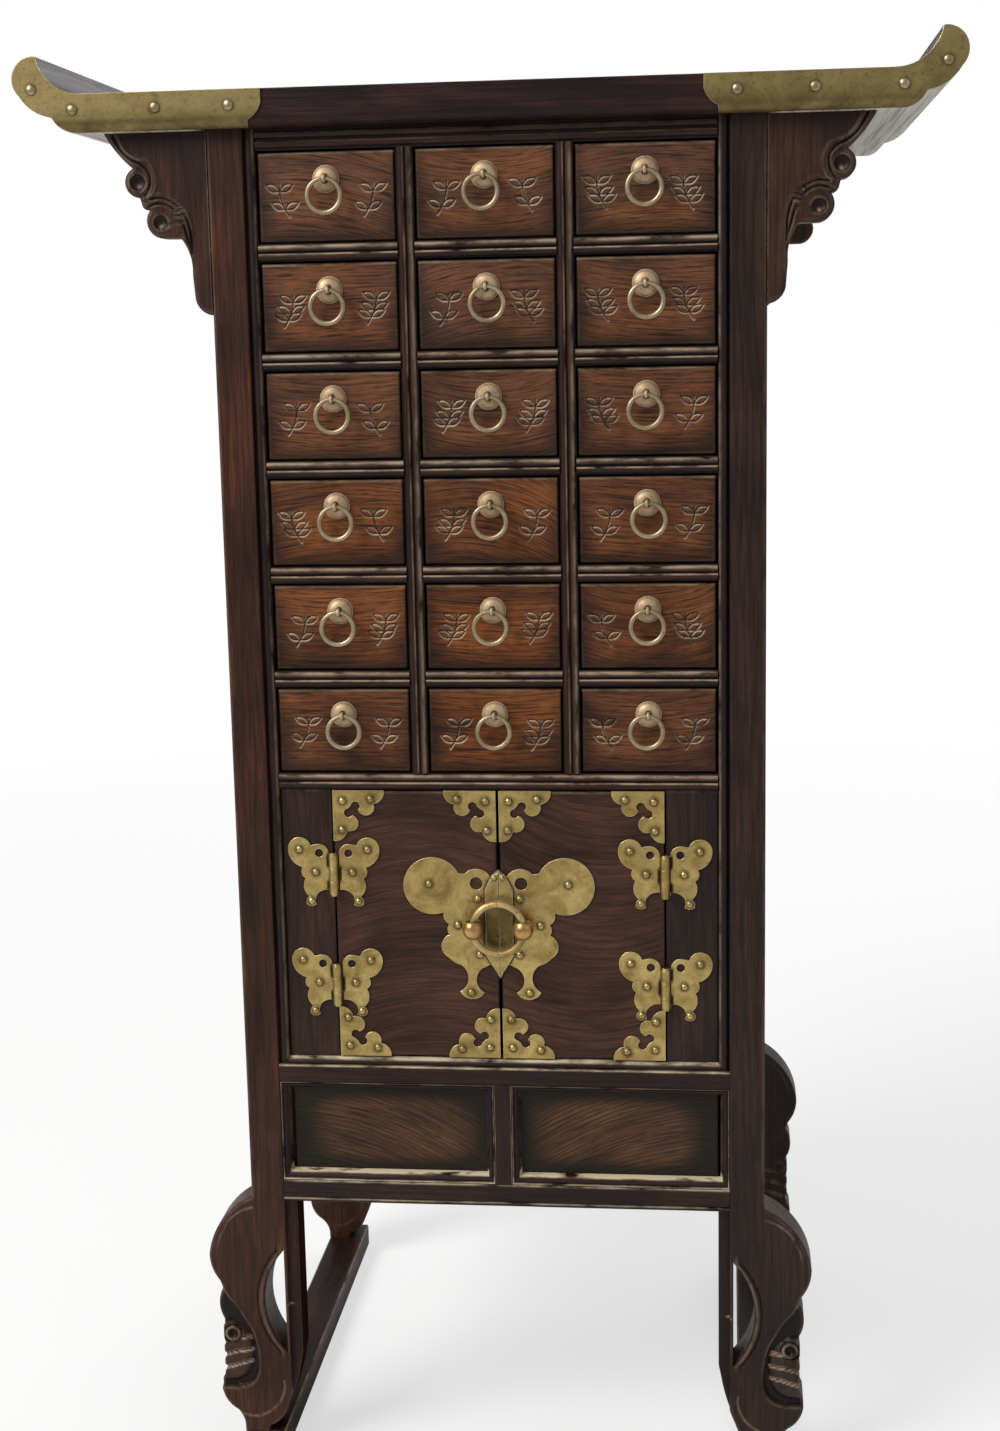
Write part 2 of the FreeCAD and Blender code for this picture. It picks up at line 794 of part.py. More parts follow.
def build_leaf(name, side, sleeves, height):
    """One wing-shaped hinge leaf with its knuckles; side is 1 for the jamb's leaf and -1 for the door's."""
    scale = side * length("leaf_width") / DRAWN_LEAF
    outline = reshaped(LEAF_OUTLINE, lambda out, up: (out * scale, up))
    hole = (LEAF_HOLE[0] * scale, LEAF_HOLE[1], LEAF_HOLE[2])
    plate = sawn(f"{name}_plate", "XZ_Plane", [outline], "plate_thickness", (
        "hinge_line", "door_face", height), holes=[hole])
    solids = [plate]
    tab_width = f"{LEAF_OUTLINE[0][0] * abs(scale)}"
    tab_left = "hinge_line" if side > 0 else f"hinge_line - {tab_width}"
    for number, (low, high) in enumerate(sleeves, start=1):
        solids.append(rod(f"{name}_knuckle_{number}", "barrel_radius", f"({high}) - ({low})", (
            "hinge_line", "hinge_front", f"{height} + {low}")))
        solids.append(board(f"{name}_tab_{number}", (tab_left, "plate_front", f"{height} + {low}"), (
            tab_width, "plate_thickness", f"({high}) - ({low})")))
    blank = joined("Part::MultiFuse", f"{name}_blank", solids)
    bore = rod(f"{name}_bore", "pin_radius + pin_clearance", "2*barrel_length", (
        "hinge_line", "hinge_front", f"{height} - barrel_length"))
    return joined("Part::Cut", name, [blank, bore])


CORNER_OUTLINE = [
    (0.0, 0.0),
    (36.0, 0.0),
    ((34.6, 6.0), (28.6, 9.5)),
    ((25.6, 17.2), (17.7, 13.6)),
    ((17.4, 8.2), (12.9, 10.6)),
    (10.6, 12.9),
    ((8.2, 17.4), (13.6, 17.7)),
    ((17.2, 25.6), (9.5, 28.6)),
    ((6.0, 34.6), (0.0, 36.0)),
]
CORNER_NAILS = [(7.0, 7.5), (26.7, 6.1), (6.3, 28.0)]

LOCK_OUTLINE = [
    (0.0, 40.2),
    (5.6, 35.0),
    ((15.0, 40.7), (23.6, 37.0)),
    (28.0, 37.5),
    ((66.5, 28.4), (38.5, 9.6)),
    ((38.6, 5.2), (35.0, 1.0)),
    ((36.4, -2.8), (35.0, -6.6)),
    ((40.8, -14.5), (36.0, -23.0)),
    ((32.0, -26.4), (27.3, -28.4)),
    ((22.4, -37.0), (28.4, -47.8)),
    ((19.8, -53.2), (11.4, -48.3)),
    ((16.8, -38.5), (12.3, -30.7)),
    (5.1, -27.0),
    (0.0, -37.8),
]
LOCK_NAILS = [(48.5, 29.8), (28.8, 0.5), (14.6, 19.4), (13.9, -20.8), (20.5, -48.2)]
LOCK_HOLE = (15.6, 30.3, 4.5)
STRIP_OUTLINE = [
    (0.0, 39.0),
    (6.2, 33.0),
    (9.6, 26.0),
    (9.6, -21.0),
    (6.0, -27.5),
    (0.0, -36.4),
]


def build_lock(nail):
    """Right half of the butterfly plate over the doors' meeting edges, with its strip and bored ball."""
    seam = length("brass_seam") / 2
    wide = length("lock_half_width") / DRAWN_LOCK
    narrow = length("strip_half_width") / DRAWN_STRIP

    def wing(out, up):
        return (max(out * wide, seam), up)

    def strip(out, up):
        return (max(out * narrow, seam), up)

    corner = ("0", "door_face", "lock_middle")
    hole = (LOCK_HOLE[0] * wide, LOCK_HOLE[1], LOCK_HOLE[2])
    plate = sawn("lock_plate", "XZ_Plane", [reshaped(LOCK_OUTLINE, wing)], "plate_thickness", corner,
                 holes=[hole])
    over = sawn("lock_strip", "XZ_Plane", [reshaped(STRIP_OUTLINE, strip)], "strip_thickness", (
        "0", "plate_front", "lock_middle"))
    ball = doc.addObject("Part::Sphere", "ring_ball_blank")
    bind(ball, {"Radius": "ball_radius"})
    put(ball, ("ball_line", "ball_front", "lock_middle"))
    neck = rod("ring_ball_neck", "ball_neck_radius", "ball_reach", (
        "ball_line", "plate_front", "lock_middle"), (1, 0, 0), 90.0)
    post = joined("Part::MultiFuse", "ring_ball_whole", [ball, neck])
    bore = rod("ring_ball_bore", "door_ring_wire_radius + ball_inset + ball_clearance", "4*ball_radius", (
        "ball_line", "ball_front", "lock_middle - 2*ball_radius"))
    bored = joined("Part::Cut", "ring_ball", [post, bore])
    spots = [(f"{out * wide}", f"{up}") for out, up in LOCK_NAILS]
    return [plate, over, bored] + nailed("lock", nail, spots, ("0", "plate_front", "lock_middle"))


def build_doors(nail):
    """Doors, their brass, the hinge leaves and pins, and the two half rings that pull them open."""
    right = board(
        "door_board",
        ("door_gap/2", "door_face", "door_sill + door_clearance"),
        (
            "hinge_line - hinge_gap/2 - door_gap/2",
            "door_thickness",
            "door_opening_height - 2*door_clearance",
        ),
    )
    door = node(eased("door_right", right, "door_edge_round"))
    node(mirrored("door_left", door))

    brass = build_lock(nail)
    scale = length("corner_plate_size") / DRAWN_CORNER
    low, high = "door_sill + door_clearance", "door_head - door_clearance"
    near, far = "door_gap/2", "hinge_line - hinge_gap/2"
    corners = {"low_near": (near, low, 1, 1), "high_near": (near, high, 1, -1),
               "low_far": (far, low, -1, 1), "high_far": (far, high, -1, -1)}
    for name, (across, up, out_sign, up_sign) in corners.items():
        outline = reshaped(CORNER_OUTLINE, lambda out, rise, a=out_sign, b=up_sign: (
            a * out * scale, b * rise * scale))
        brass.append(sawn(f"corner_{name}", "XZ_Plane", [outline], "plate_thickness", (
            across, "door_face", up)))
        spots = [(f"{out_sign * out * scale}", f"{up_sign * rise * scale}") for out, rise in CORNER_NAILS]
        brass.extend(nailed(f"corner_{name}", nail, spots, (across, "plate_front", up)))

    jamb_brass = []
    pins = []
    leaf_scale = length("leaf_width") / DRAWN_LEAF
    middle = [("-knuckle_length/2 + knuckle_gap/2", "knuckle_length/2 - knuckle_gap/2")]
    ends = [("knuckle_length/2 + knuckle_gap/2", "barrel_length/2"),
            ("-barrel_length/2", "-knuckle_length/2 - knuckle_gap/2")]
    for word in ("upper", "lower"):
        height = f"door_sill + {word}_hinge_height"
        brass.append(build_leaf(f"{word}_door_leaf", -1, middle, height))
        jamb_brass.append(build_leaf(f"{word}_jamb_leaf", 1, ends, height))
        corner = ("hinge_line", "plate_front", height)
        for side, owner, name in ((-1, brass, "door"), (1, jamb_brass, "jamb")):
            spots = [(f"{side * out * leaf_scale}", f"{up}") for out, up in LEAF_NAILS]
            owner.extend(nailed(f"{word}_{name}_leaf", nail, spots, corner))
        pins.append(build_pin(f"{word}_pin", height))
    right_set = node(gathered("door_right_brasses", brass))
    node(mirrored("door_left_brasses", right_set))
    jamb_set = gathered("jamb_leaves_right", jamb_brass)
    node(gathered("jamb_hinge_leaves", [jamb_set, mirrored("jamb_leaves_left", jamb_set)]))
    pin_set = gathered("hinge_pins_right", pins)
    node(gathered("hinge_pins", [pin_set, mirrored("hinge_pins_left", pin_set)]))

    half = doc.addObject("Part::Torus", "half_ring_right")
    bind(half, {"Radius1": "door_ring_radius", "Radius2": "door_ring_wire_radius"})
    trim = math.degrees(math.asin(length("brass_seam") / 2 / length("door_ring_radius")))
    half.Angle3 = 180.0 - 2 * trim
    upright = FreeCAD.Rotation(FreeCAD.Vector(1, 0, 0), 90.0)
    half.Placement = FreeCAD.Placement(
        FreeCAD.Vector(), upright.multiply(FreeCAD.Rotation(FreeCAD.Vector(0, 0, 1), trim - 90.0))
    )
    node(put(half, ("0", "ball_front", "lock_middle")))
    node(mirrored("half_ring_left", half))


def build_pin(name, height):
    """A hinge pin with a flat head at each end of its barrel."""
    shank = rod(f"{name}_shank", "pin_radius", "barrel_length", (
        "hinge_line", "hinge_front", f"{height} - barrel_length/2"))
    upper = rod(f"{name}_upper_head", "pin_head_radius", "pin_head_height", (
        "hinge_line", "hinge_front", f"{height} + barrel_length/2"))
    lower = rod(f"{name}_lower_head", "pin_head_radius", "pin_head_height", (
        "hinge_line", "hinge_front", f"{height} - barrel_length/2 - pin_head_height"))
    return joined("Part::MultiFuse", name, [shank, upper, lower])


def write_nodes():
    """Check every object and each finished piece, then write one file per node."""
    doc.recompute()
    failed = [item.Label for item in doc.Objects if {"Invalid", "Error"} & set(item.State)]
    if failed:
        raise RuntimeError(f"not built: {failed}")
    for piece in nodes:
        if piece.Shape.isNull() or not piece.Shape.isValid():
            raise RuntimeError(f"bad shape: {piece.Label}")
    os.makedirs("parts", exist_ok=True)
    for piece in nodes:
        Part.makeCompound(piece.Shape.Solids).exportStep(f"parts/{piece.Label}.step")
    print(f"{len(nodes)} nodes, {sum(len(piece.Shape.Solids) for piece in nodes)} solids")


nail_head = build_top()
build_posts()
build_wings()
build_case_boards()
build_front_frame()
build_drawers()
build_doors(nail_head)
write_nodes()
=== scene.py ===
import logging
import math
from collections.abc import Sequence
from dataclasses import dataclass, replace
from enum import Enum

import bmesh
import bpy
import numpy as np
from mathutils import Matrix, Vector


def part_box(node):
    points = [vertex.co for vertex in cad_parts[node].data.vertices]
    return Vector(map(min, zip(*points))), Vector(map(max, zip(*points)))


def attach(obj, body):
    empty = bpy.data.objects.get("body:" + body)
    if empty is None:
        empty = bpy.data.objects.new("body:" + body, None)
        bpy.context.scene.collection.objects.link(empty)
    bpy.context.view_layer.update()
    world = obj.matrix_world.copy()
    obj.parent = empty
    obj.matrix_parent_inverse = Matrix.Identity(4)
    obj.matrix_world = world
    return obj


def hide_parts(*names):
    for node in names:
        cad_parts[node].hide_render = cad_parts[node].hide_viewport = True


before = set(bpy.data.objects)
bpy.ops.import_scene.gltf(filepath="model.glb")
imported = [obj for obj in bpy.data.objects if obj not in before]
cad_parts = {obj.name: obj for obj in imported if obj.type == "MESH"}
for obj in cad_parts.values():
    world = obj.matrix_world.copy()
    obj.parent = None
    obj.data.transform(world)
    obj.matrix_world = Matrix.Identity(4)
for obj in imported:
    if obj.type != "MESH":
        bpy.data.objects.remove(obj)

# A tall medicine cabinet on carved legs: eighteen small drawers over a pair of brass-bound doors, under a
# board top with rolled ends. X runs across the front, Y from front to back, Z up; lengths are metres.

log = logging.getLogger("medicine_cabinet")
Array = np.ndarray
Point = tuple[float, float, float]
Section = tuple[Array, Array, Array]
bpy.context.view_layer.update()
MM = 0.001
WELD = 0.002 * MM
GRAIN_MAP = "grain"
CASE = "cabinet"
ACROSS_X, ACROSS_Y, ACROSS_Z = np.eye(3)

# Shared levels and planes of the case, as the frame has them.
FRONT = -180.0 * MM
MIDDLE = 1.5 * MM
HALF_INSIDE = 151.0 * MM
POST_OUTSIDE = 183.0 * MM
CASE_TOP = 943.0 * MM
ROWS, COLUMNS = 6, 3


def hue(code: str) -> tuple[float, float, float, float]:
    """A written colour such as #5b3524 as linear light, with full alpha."""
    shares = [int(code[at:at + 2], 16) / 255 for at in (1, 3, 5)]
    return tuple(s / 12.92 if s <= 0.04045 else ((s + 0.055) / 1.055) ** 2.4 for s in shares) + (1.0,)


def smooth(value: Array, low: float, high: float) -> Array:
    """A soft step: 0 below low, 1 above high, and an S curve of the third degree between."""
    share = np.clip((value - low) / (high - low), 0.0, 1.0)
    return share * share * (3.0 - 2.0 * share)


def ridge(distance: Array, width: float) -> Array:
    """A bell curve: 1 on a line and falling away over a width to each side of it."""
    return np.exp(-((distance / width) ** 2))


def round_over(distance: Array, radius: float) -> Array:
    """How far a rounded edge drops: a quarter circle of the radius, over that distance from the edge."""
    left = np.clip(radius - distance, 0.0, radius)
    return radius - np.sqrt(radius * radius - left * left)


def distance_to(points: Array, line: Array) -> Array:
    """Distance from points to a line of straight runs: the least over the runs, each clipped to its ends.

    Args:
        points: any grid of points in a plane, with two coordinates last.
        line: the corners of the line, one row each.

    Returns:
        The distances, on the same grid.
    """
    run = np.diff(line, axis=0)
    offset = points[..., None, :] - line[:-1]
    share = np.clip((offset * run).sum(-1) / (run * run).sum(-1), 0.0, 1.0)
    return np.linalg.norm(offset - share[..., None] * run, axis=-1).min(-1)


def arc(start: Array, via: Array, end: Array, count: int = 14) -> Array:
    """Points on the circle through three points, from the first to the last, without the first.

    The centre is where the two chords' middle lines cross; the angle then runs evenly past the middle point.

    Args:
        start: the first point.
        via: a point between.
        end: the last point.
        count: how many points are made.

    Returns:
        The points, one row each.
    """
    chords = 2.0 * np.stack([via - start, end - start])
    centre = np.linalg.solve(chords, np.array([via @ via - start @ start, end @ end - start @ start]))
    spokes = np.stack([start, via, end]) - centre
    first, _, last = np.unwrap(np.arctan2(spokes[:, 1], spokes[:, 0]))
    turn = np.linspace(first, last, count + 1)[1:, None]
    return centre + np.hypot(*spokes[0]) * np.concatenate([np.cos(turn), np.sin(turn)], axis=1)


def traced(outline: Sequence[tuple], unit: float = MM) -> Array:
    """An outline of points and arcs as a line of short straight runs.

    Args:
        outline: steps, each a point reached straight or a pair of a point on an arc and its end.
        unit: the size of the outline's own unit in metres.

    Returns:
        The corners of the line, one row each.
    """
    runs = [np.array([outline[0]], float)]
    for step in outline[1:]:
        if isinstance(step[0], tuple):
            runs.append(arc(runs[-1][-1], np.array(step[0]), np.array(step[1])))
        else:
            runs.append(np.array([step], float))
    return unit * np.concatenate(runs)


def flowing(points: Sequence[tuple[float, float]], unit: float = MM, steps: int = 8) -> Array:
    """A smooth line through points: a cubic on each run, with slopes from the points on either side.

    Args:
        points: the points, across and up.
        unit: the size of the points' own unit in metres.
        steps: how many short runs stand for each cubic.

    Returns:
        The corners of the line, one row each.
    """
    knots = unit * np.array(points, float)
    before = np.concatenate([2 * knots[:1] - knots[1:2], knots[:-1]])
    after = np.concatenate([knots[1:], 2 * knots[-1:] - knots[-2:-1]])
    slope = (after - before) / 2.0
    share = np.linspace(0.0, 1.0, steps, endpoint=False)[None, :, None]
    start, end, leave, arrive = (side[:, None, :] for side in (knots[:-1], knots[1:], slope[:-1], slope[1:]))
    cubic = (2 * share ** 3 - 3 * share ** 2 + 1) * start + (share ** 3 - 2 * share ** 2 + share) * leave
    cubic = cubic + (3 * share ** 2 - 2 * share ** 3) * end + (share ** 3 - share ** 2) * arrive
    return np.concatenate([cubic.reshape(-1, 2), knots[-1:]])


def eased_steps(span: float, pitch: float, edge: float) -> Array:
    """Places from 0 to a span at an even pitch, with a closer set inside each rounded edge.

    Args:
        span: the whole length.
        pitch: the even pitch.
        edge: the width of the rounded edges.

    Returns:
        The places, in order.
    """
    lip = edge * (1.0 - np.cos(np.linspace(0.0, math.pi / 2, 5)))
    inner = np.linspace(edge, span - edge, max(2, round((span - 2 * edge) / pitch) + 1))
    return np.concatenate([lip[:-1], inner, (span - lip[::-1])[1:]])


@dataclass(frozen=True)
class GrainMap:
    """How grain lies on a piece: the way it runs, what lies across it, its turn, its bow and its shift."""

    along: Point
    across: Point
    shift: tuple[float, float] = (0.0, 0.0)
    turn: float = 0.0
    bow: float = 0.0
    heart: Point = (0.0, 0.0, 0.0)

    def of(self, points: Array) -> Array:
        """Lengths along and across the grain: a turn about the heart, a parabola's bow, then the shift.

        Args:
            points: any grid of points.

        Returns:
            The two lengths at each point, on the same grid.
        """
        local = points - np.array(self.heart)
        flat = np.stack([local @ np.array(self.along), local @ np.array(self.across)], axis=-1)
        cos, sin = math.cos(self.turn), math.sin(self.turn)
        flat = flat @ np.array([[cos, -sin], [sin, cos]])
        flat[..., 1] += self.bow * flat[..., 0] ** 2
        return flat + np.array(self.shift)


GRAIN_X = GrainMap((1.0, 0.0, 0.0), (0.0, 0.8, 1.0))
GRAIN_Y = GrainMap((0.0, 1.0, 0.0), (0.7, 0.0, 1.0))
GRAIN_Z = GrainMap((0.0, 0.0, 1.0), (1.0, 0.8, 0.0))


@dataclass
class Patch:
    """A grid of points, with what the finish needs at each: grain, wearing and painted light, soiling and
    painted shade, and the board's own tone.
    """

    points: Array
    grain: GrainMap
    # worn is wearing together with highlights painted on lit crests, lips and glints; dark is soiling
    # together with shade painted into cuts and recesses.
    worn: Array | float = 0.0
    dark: Array | float = 0.0
    tone: Array | float = 0.0
    finish: int = 0
    closed: bool = False

    def quads(self, first: int) -> Array:
        """Corner numbers of the grid's faces.

        Args:
            first: the number of the grid's first point.

        Returns:
            Four numbers for each face.
        """
        rows, columns = self.points.shape[:2]
        number = first + np.arange(rows * columns).reshape(rows, columns)
        if self.closed:
            number = np.concatenate([number, number[:, :1]], axis=1)
        corners = [number[:-1, :-1], number[:-1, 1:], number[1:, 1:], number[1:, :-1]]
        return np.stack(corners, axis=-1).reshape(-1, 4)

    def spread(self, quality: str) -> Array:
        """One of the qualities worn, dark or tone at every point, in the points' order."""
        return np.broadcast_to(getattr(self, quality), self.points.shape[:2]).ravel()

    def moved(self, change: Array, shift: Array, tone: float = 0.0) -> "Patch":
        """The same patch scaled along the axes and shifted, as for a mirror image, and toned."""
        return replace(self, points=self.points * change + shift, tone=self.tone + tone)


def make_piece(
    name: str,
    patches: Sequence[Patch],
    finishes: Sequence[bpy.types.Material],
    body: str,
    replaced: Sequence[str] = (),
    crease: float = 38.0,
) -> bpy.types.Object:
    """Join patches into one mesh with its grain map and qualities, and let it ride on a body.

    Args:
        name: the piece's name.
        patches: its grids; borders that meet are welded.
        finishes: its materials, in the order that the patches number them.
        body: the body that it moves with.
        replaced: the nodes that it stands for.
        crease: the angle in degrees past which an edge stays sharp.

    Returns:
        The object.
    """
    counts = [patch.points.shape[0] * patch.points.shape[1] for patch in patches]
    firsts = np.concatenate([[0], np.cumsum(counts)[:-1]])
    quads = [patch.quads(int(first)) for patch, first in zip(patches, firsts)]
    corners = np.concatenate(quads)
    mesh = bpy.data.meshes.new(name)
    mesh.vertices.add(sum(counts))
    mesh.vertices.foreach_set("co", np.concatenate([patch.points.reshape(-1) for patch in patches]))
    mesh.loops.add(corners.size)
    mesh.loops.foreach_set("vertex_index", corners.reshape(-1))
    mesh.polygons.add(len(corners))
    mesh.polygons.foreach_set("loop_start", np.arange(0, corners.size, 4))
    mesh.polygons.foreach_set(
        "material_index", np.concatenate([np.full(len(q), p.finish) for q, p in zip(quads, patches)])
    )
    mesh.update(calc_edges=True)
    grain = np.concatenate([patch.grain.of(patch.points).reshape(-1, 2) for patch in patches])
    layer = mesh.uv_layers.new(name=GRAIN_MAP)
    layer.data.foreach_set("uv", grain[corners.reshape(-1)].reshape(-1))
    for quality in ("worn", "dark", "tone"):
        values = np.concatenate([patch.spread(quality) for patch in patches])
        mesh.attributes.new(quality, "FLOAT", "POINT").data.foreach_set("value", values.astype(np.float32))
    welded = bmesh.new()
    welded.from_mesh(mesh)
    bmesh.ops.remove_doubles(welded, verts=welded.verts, dist=WELD)
    bmesh.ops.recalc_face_normals(welded, faces=welded.faces)
    welded.to_mesh(mesh)
    welded.free()
    mesh.polygons.foreach_set("use_smooth", np.ones(len(mesh.polygons), dtype=bool))
    mesh.set_sharp_from_angle(angle=math.radians(crease))
    for finish in finishes:
        mesh.materials.append(finish)
    piece = bpy.data.objects.new(name, mesh)
    bpy.context.scene.collection.objects.link(piece)
    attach(piece, body)
    if replaced:
        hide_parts(*replaced)
    log.info("%s: %d faces on %s", name, len(mesh.polygons), body)
    return piece


def dress(finish: bpy.types.Material, *nodes: str) -> None:
    """Give nodes of the frame a finish, in every material slot that they have.

    Args:
        finish: the material.
        nodes: the nodes' names.
    """
    for name in nodes:
        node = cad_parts[name]
        for slot in node.material_slots:
            slot.material = finish
        log.info("%s: finished as %s", name, finish.name)


# Shapes that several pieces share. A planed rail wavers a little, down to some depth behind its face.

PLANE_STEP = 9.0 * MM
PLANE_WAVER = 0.1 * MM
PLANED_DEPTH = 6.0 * MM
HOOP_STEPS = 41
HOOP_SIDES = 14
NAIL_SINK = 0.3 * MM


def carried(
    section: Array,
    worn: Array,
    dark: Array,
    origin: Array,
    axes: tuple[Array, Array, Array],
    length: float,
    grain: GrainMap,
    tone: float = 0.0,
    finish: int = 0,
    mitre: tuple[Array | float, Array | float] = (0.0, 0.0),
) -> Patch:
    """A closed section carried along a straight path, with both ends closed to their middles.

    A point is origin + s along + depth back + height up; s runs from the mitre at the start to the mitre at
    the end, and depth wavers with two slow sines of s as hand planing leaves it.

    Args:
        section: (depth, height) of the section's points, in order round it.
        worn: wearing and painted highlight at each point of the section.
        dark: soiling and painted shade at each point of the section.
        origin: where the section's own zero starts.
        axes: unit directions of the path, of depth and of height.
        length: length of the path.
        grain: how the grain lies.
        tone: the board's tone.
        finish: the number of its material.
        mitre: how far each point of the section is cut short at the start and at the end.

    Returns:
        The patch.
    """
    along, back, up = axes
    start, end = mitre
    share = np.linspace(0.0, 1.0, max(3, round(length / PLANE_STEP)))[:, None]
    run = start + share * (length - start - end) + np.zeros(len(section))
    phase = 40.0 * float(np.sum(origin))
    drift = PLANE_WAVER * (np.sin(47.0 * run + phase) + 0.6 * np.sin(113.0 * run + 2.0 * phase))
    depth = section[:, 0] + drift * (section[:, 0] < PLANED_DEPTH)
    rings = origin + run[..., None] * along + depth[..., None] * back + section[:, 1, None] * up
    caps = np.broadcast_to(rings[[0, -1]].mean(axis=1, keepdims=True), (2, len(section), 3))
    points = np.concatenate([caps[:1], rings, caps[1:]])
    return Patch(points, grain, worn[None, :], dark[None, :], tone, finish, closed=True)


def border(grid: Array) -> Array:
    """The points round the rim of a grid, once each, in order."""
    return np.concatenate([grid[0, :-1], grid[:-1, -1], grid[-1, :0:-1], grid[:0:-1, 0]])


@dataclass
class FacedBoard:
    """An upright board whose face, towards -Y, is a fine grid with rounded edges and shallow cuts."""

    low: Array
    high: Array
    rounding: float
    pitch: float
    grain: GrainMap
    tone: float = 0.0
    # The edges darken with soiling and with shade painted in the gap round the board; the upper edge takes a
    # painted highlight.
    edge_dirt_and_shade: float = 0.6
    edge_shade_width: float = 1.2 * MM
    edge_shade_fade: float = 6.0 * MM
    rub_and_highlight_width: float = 0.7 * MM
    rub_inset: float = 1.6 * MM
    top_highlight_inset: float = 1.3 * MM

    def __post_init__(self) -> None:
        """Lay the grid of the face and measure each point's distance from the nearest edge."""
        self.low, self.high = np.array(self.low, float), np.array(self.high, float)
        span = self.high - self.low
        across = eased_steps(span[0], self.pitch, self.rounding)
        up = eased_steps(span[2], self.pitch, self.rounding)
        self.x, self.z = np.meshgrid(self.low[0] + across, self.low[2] + up)
        self.side = np.minimum(self.x - self.low[0], self.high[0] - self.x)
        self.level = np.minimum(self.z - self.low[2], self.high[2] - self.z)
        self.edge = np.minimum(self.side, self.level)

    def patches(
        self, cut: Array | float = 0.0, dirt_and_shade: Array | float = 0.0, wear_and_light: Array | float = 0.0
    ) -> list[Patch]:
        """The face and the rest of the board.

        The face's depth is the drop of both rounded edges, plus the cut. Its rim is carried back to the
        board's rear and closed to the middle there. The upper edge is painted palest, as wearing and a
        highlight from above; the edges and the walls behind them are painted dark, as soiling and shade.

        Args:
            cut: depth cut into the face at each point.
            dirt_and_shade: extra darkness at each point, as soiling and painted shade.
            wear_and_light: extra rubbing and painted highlight at each point.

        Returns:
            Two patches.
        """
        drop = round_over(self.side, self.rounding) + round_over(self.level, self.rounding)
        face = np.stack([self.x, self.low[1] + drop + cut, self.z], axis=-1)
        edge_shade_line = ridge(self.edge, self.edge_shade_width) + 0.5 * np.exp(-self.edge / self.edge_shade_fade)
        shade = self.edge_dirt_and_shade * edge_shade_line
        rub_and_highlight = 0.5 * ridge(self.high[2] - self.z - self.top_highlight_inset, self.rub_and_highlight_width)
        rub_and_highlight = rub_and_highlight + 0.08 * ridge(self.edge - self.rub_inset, self.rub_and_highlight_width)
        rim = border(face)
        flat = np.array([1.0, 0.0, 1.0])
        rear = rim * flat + self.high[1] * ACROSS_Y
        heart = np.broadcast_to((self.low + self.high) / 2 * flat + self.high[1] * ACROSS_Y, rim.shape)
        wall = Patch(np.stack([rim, rear, heart]), self.grain, 0.0, self.edge_dirt_and_shade, self.tone, closed=True)
        return [Patch(face, self.grain, rub_and_highlight + wear_and_light, np.clip(shade + dirt_and_shade, 0, 1), self.tone), wall]


def rounded_board(
    low: Array, high: Array, radius: float, axis: int, grain: GrainMap, tone: float = 0.0, finish: int = 0
) -> Patch:
    """A board with all its edges rounded: a round-cornered rectangle carried along one axis.

    Each end is a quarter circle of rings that draw in by the radius, closed to the middle. Wear is greatest
    half way round each corner.

    Args:
        low: its lowest corner.
        high: its highest corner.
        radius: radius of the edges.
        axis: number of the axis that the rectangle is carried along.
        grain: how the grain lies.
        tone: the board's tone.
        finish: the number of its material.

    Returns:
        The patch.
    """
    low, high = np.array(low, float), np.array(high, float)
    first, second = (axis + 1) % 3, (axis + 2) % 3
    turn = np.linspace(0.0, math.pi / 2, 4)
    corner = np.concatenate([quarter * math.pi / 2 + turn for quarter in range(4)])
    signs = np.repeat(np.array([[1, 1], [-1, 1], [-1, -1], [1, -1]]), len(turn), axis=0)
    rise = np.linspace(0.0, math.pi / 2, 4)
    reach = radius * np.concatenate([[0.0], np.sin(rise), np.sin(rise[::-1]), [0.0]])
    start = low[axis] + radius * (1 - np.cos(rise))
    place = np.concatenate([[low[axis]], start, (low[axis] + high[axis] - start)[::-1], [high[axis]]])
    flat = np.concatenate([[0.0], np.ones(2 * len(rise)), [0.0]])
    half = (high - low) / 2 - radius
    middle = (high + low) / 2
    points = np.empty((len(place), len(corner), 3))
    points[..., axis] = place[:, None]
    for way, sign, swing in ((first, signs[:, 0], np.cos(corner)), (second, signs[:, 1], np.sin(corner))):
        points[..., way] = middle[way] + flat[:, None] * half[way] * sign + reach[:, None] * swing
    worn = np.broadcast_to(np.abs(np.sin(2 * corner)), points.shape[:2]) * flat[:, None]
    return Patch(points, grain, worn, 0.0, tone, finish, closed=True)


def turned(profile: Array, centre: Array, along: Array, sides: int, finish: int = 0) -> Patch:
    """A turned piece: a profile spun about a line that leaves its centre along a direction.

    Args:
        profile: (radius, reach) of its points, in order.
        centre: where the line starts.
        along: the line's unit direction.
        sides: how many points go round.
        finish: the number of its material.

    Returns:
        The patch.
    """
    angle = np.linspace(0.0, 2 * math.pi, sides, endpoint=False)
    first = np.roll(np.abs(along), 1)
    spokes = np.cos(angle)[:, None] * first + np.sin(angle)[:, None] * np.cross(along, first)
    points = centre + profile[:, None, :1] * spokes + profile[:, None, 1:] * along
    return Patch(points, GRAIN_X, finish=finish, closed=True)


def nail_head(radius: float, height: float, steps: int) -> Array:
    """Half the section of a nail's head: a quarter ellipse over a rim that is sunk a little.

    Args:
        radius: radius of the head.
        height: height of the head.
        steps: how many points stand for the ellipse.

    Returns:
        (radius, reach) of the section's points.
    """
    swell = np.linspace(0.0, math.pi / 2, steps)
    dome = np.stack([radius * np.cos(swell), height * np.sin(swell)], axis=-1)
    return np.concatenate([[[0.0, -NAIL_SINK], [radius, -NAIL_SINK]], dome])


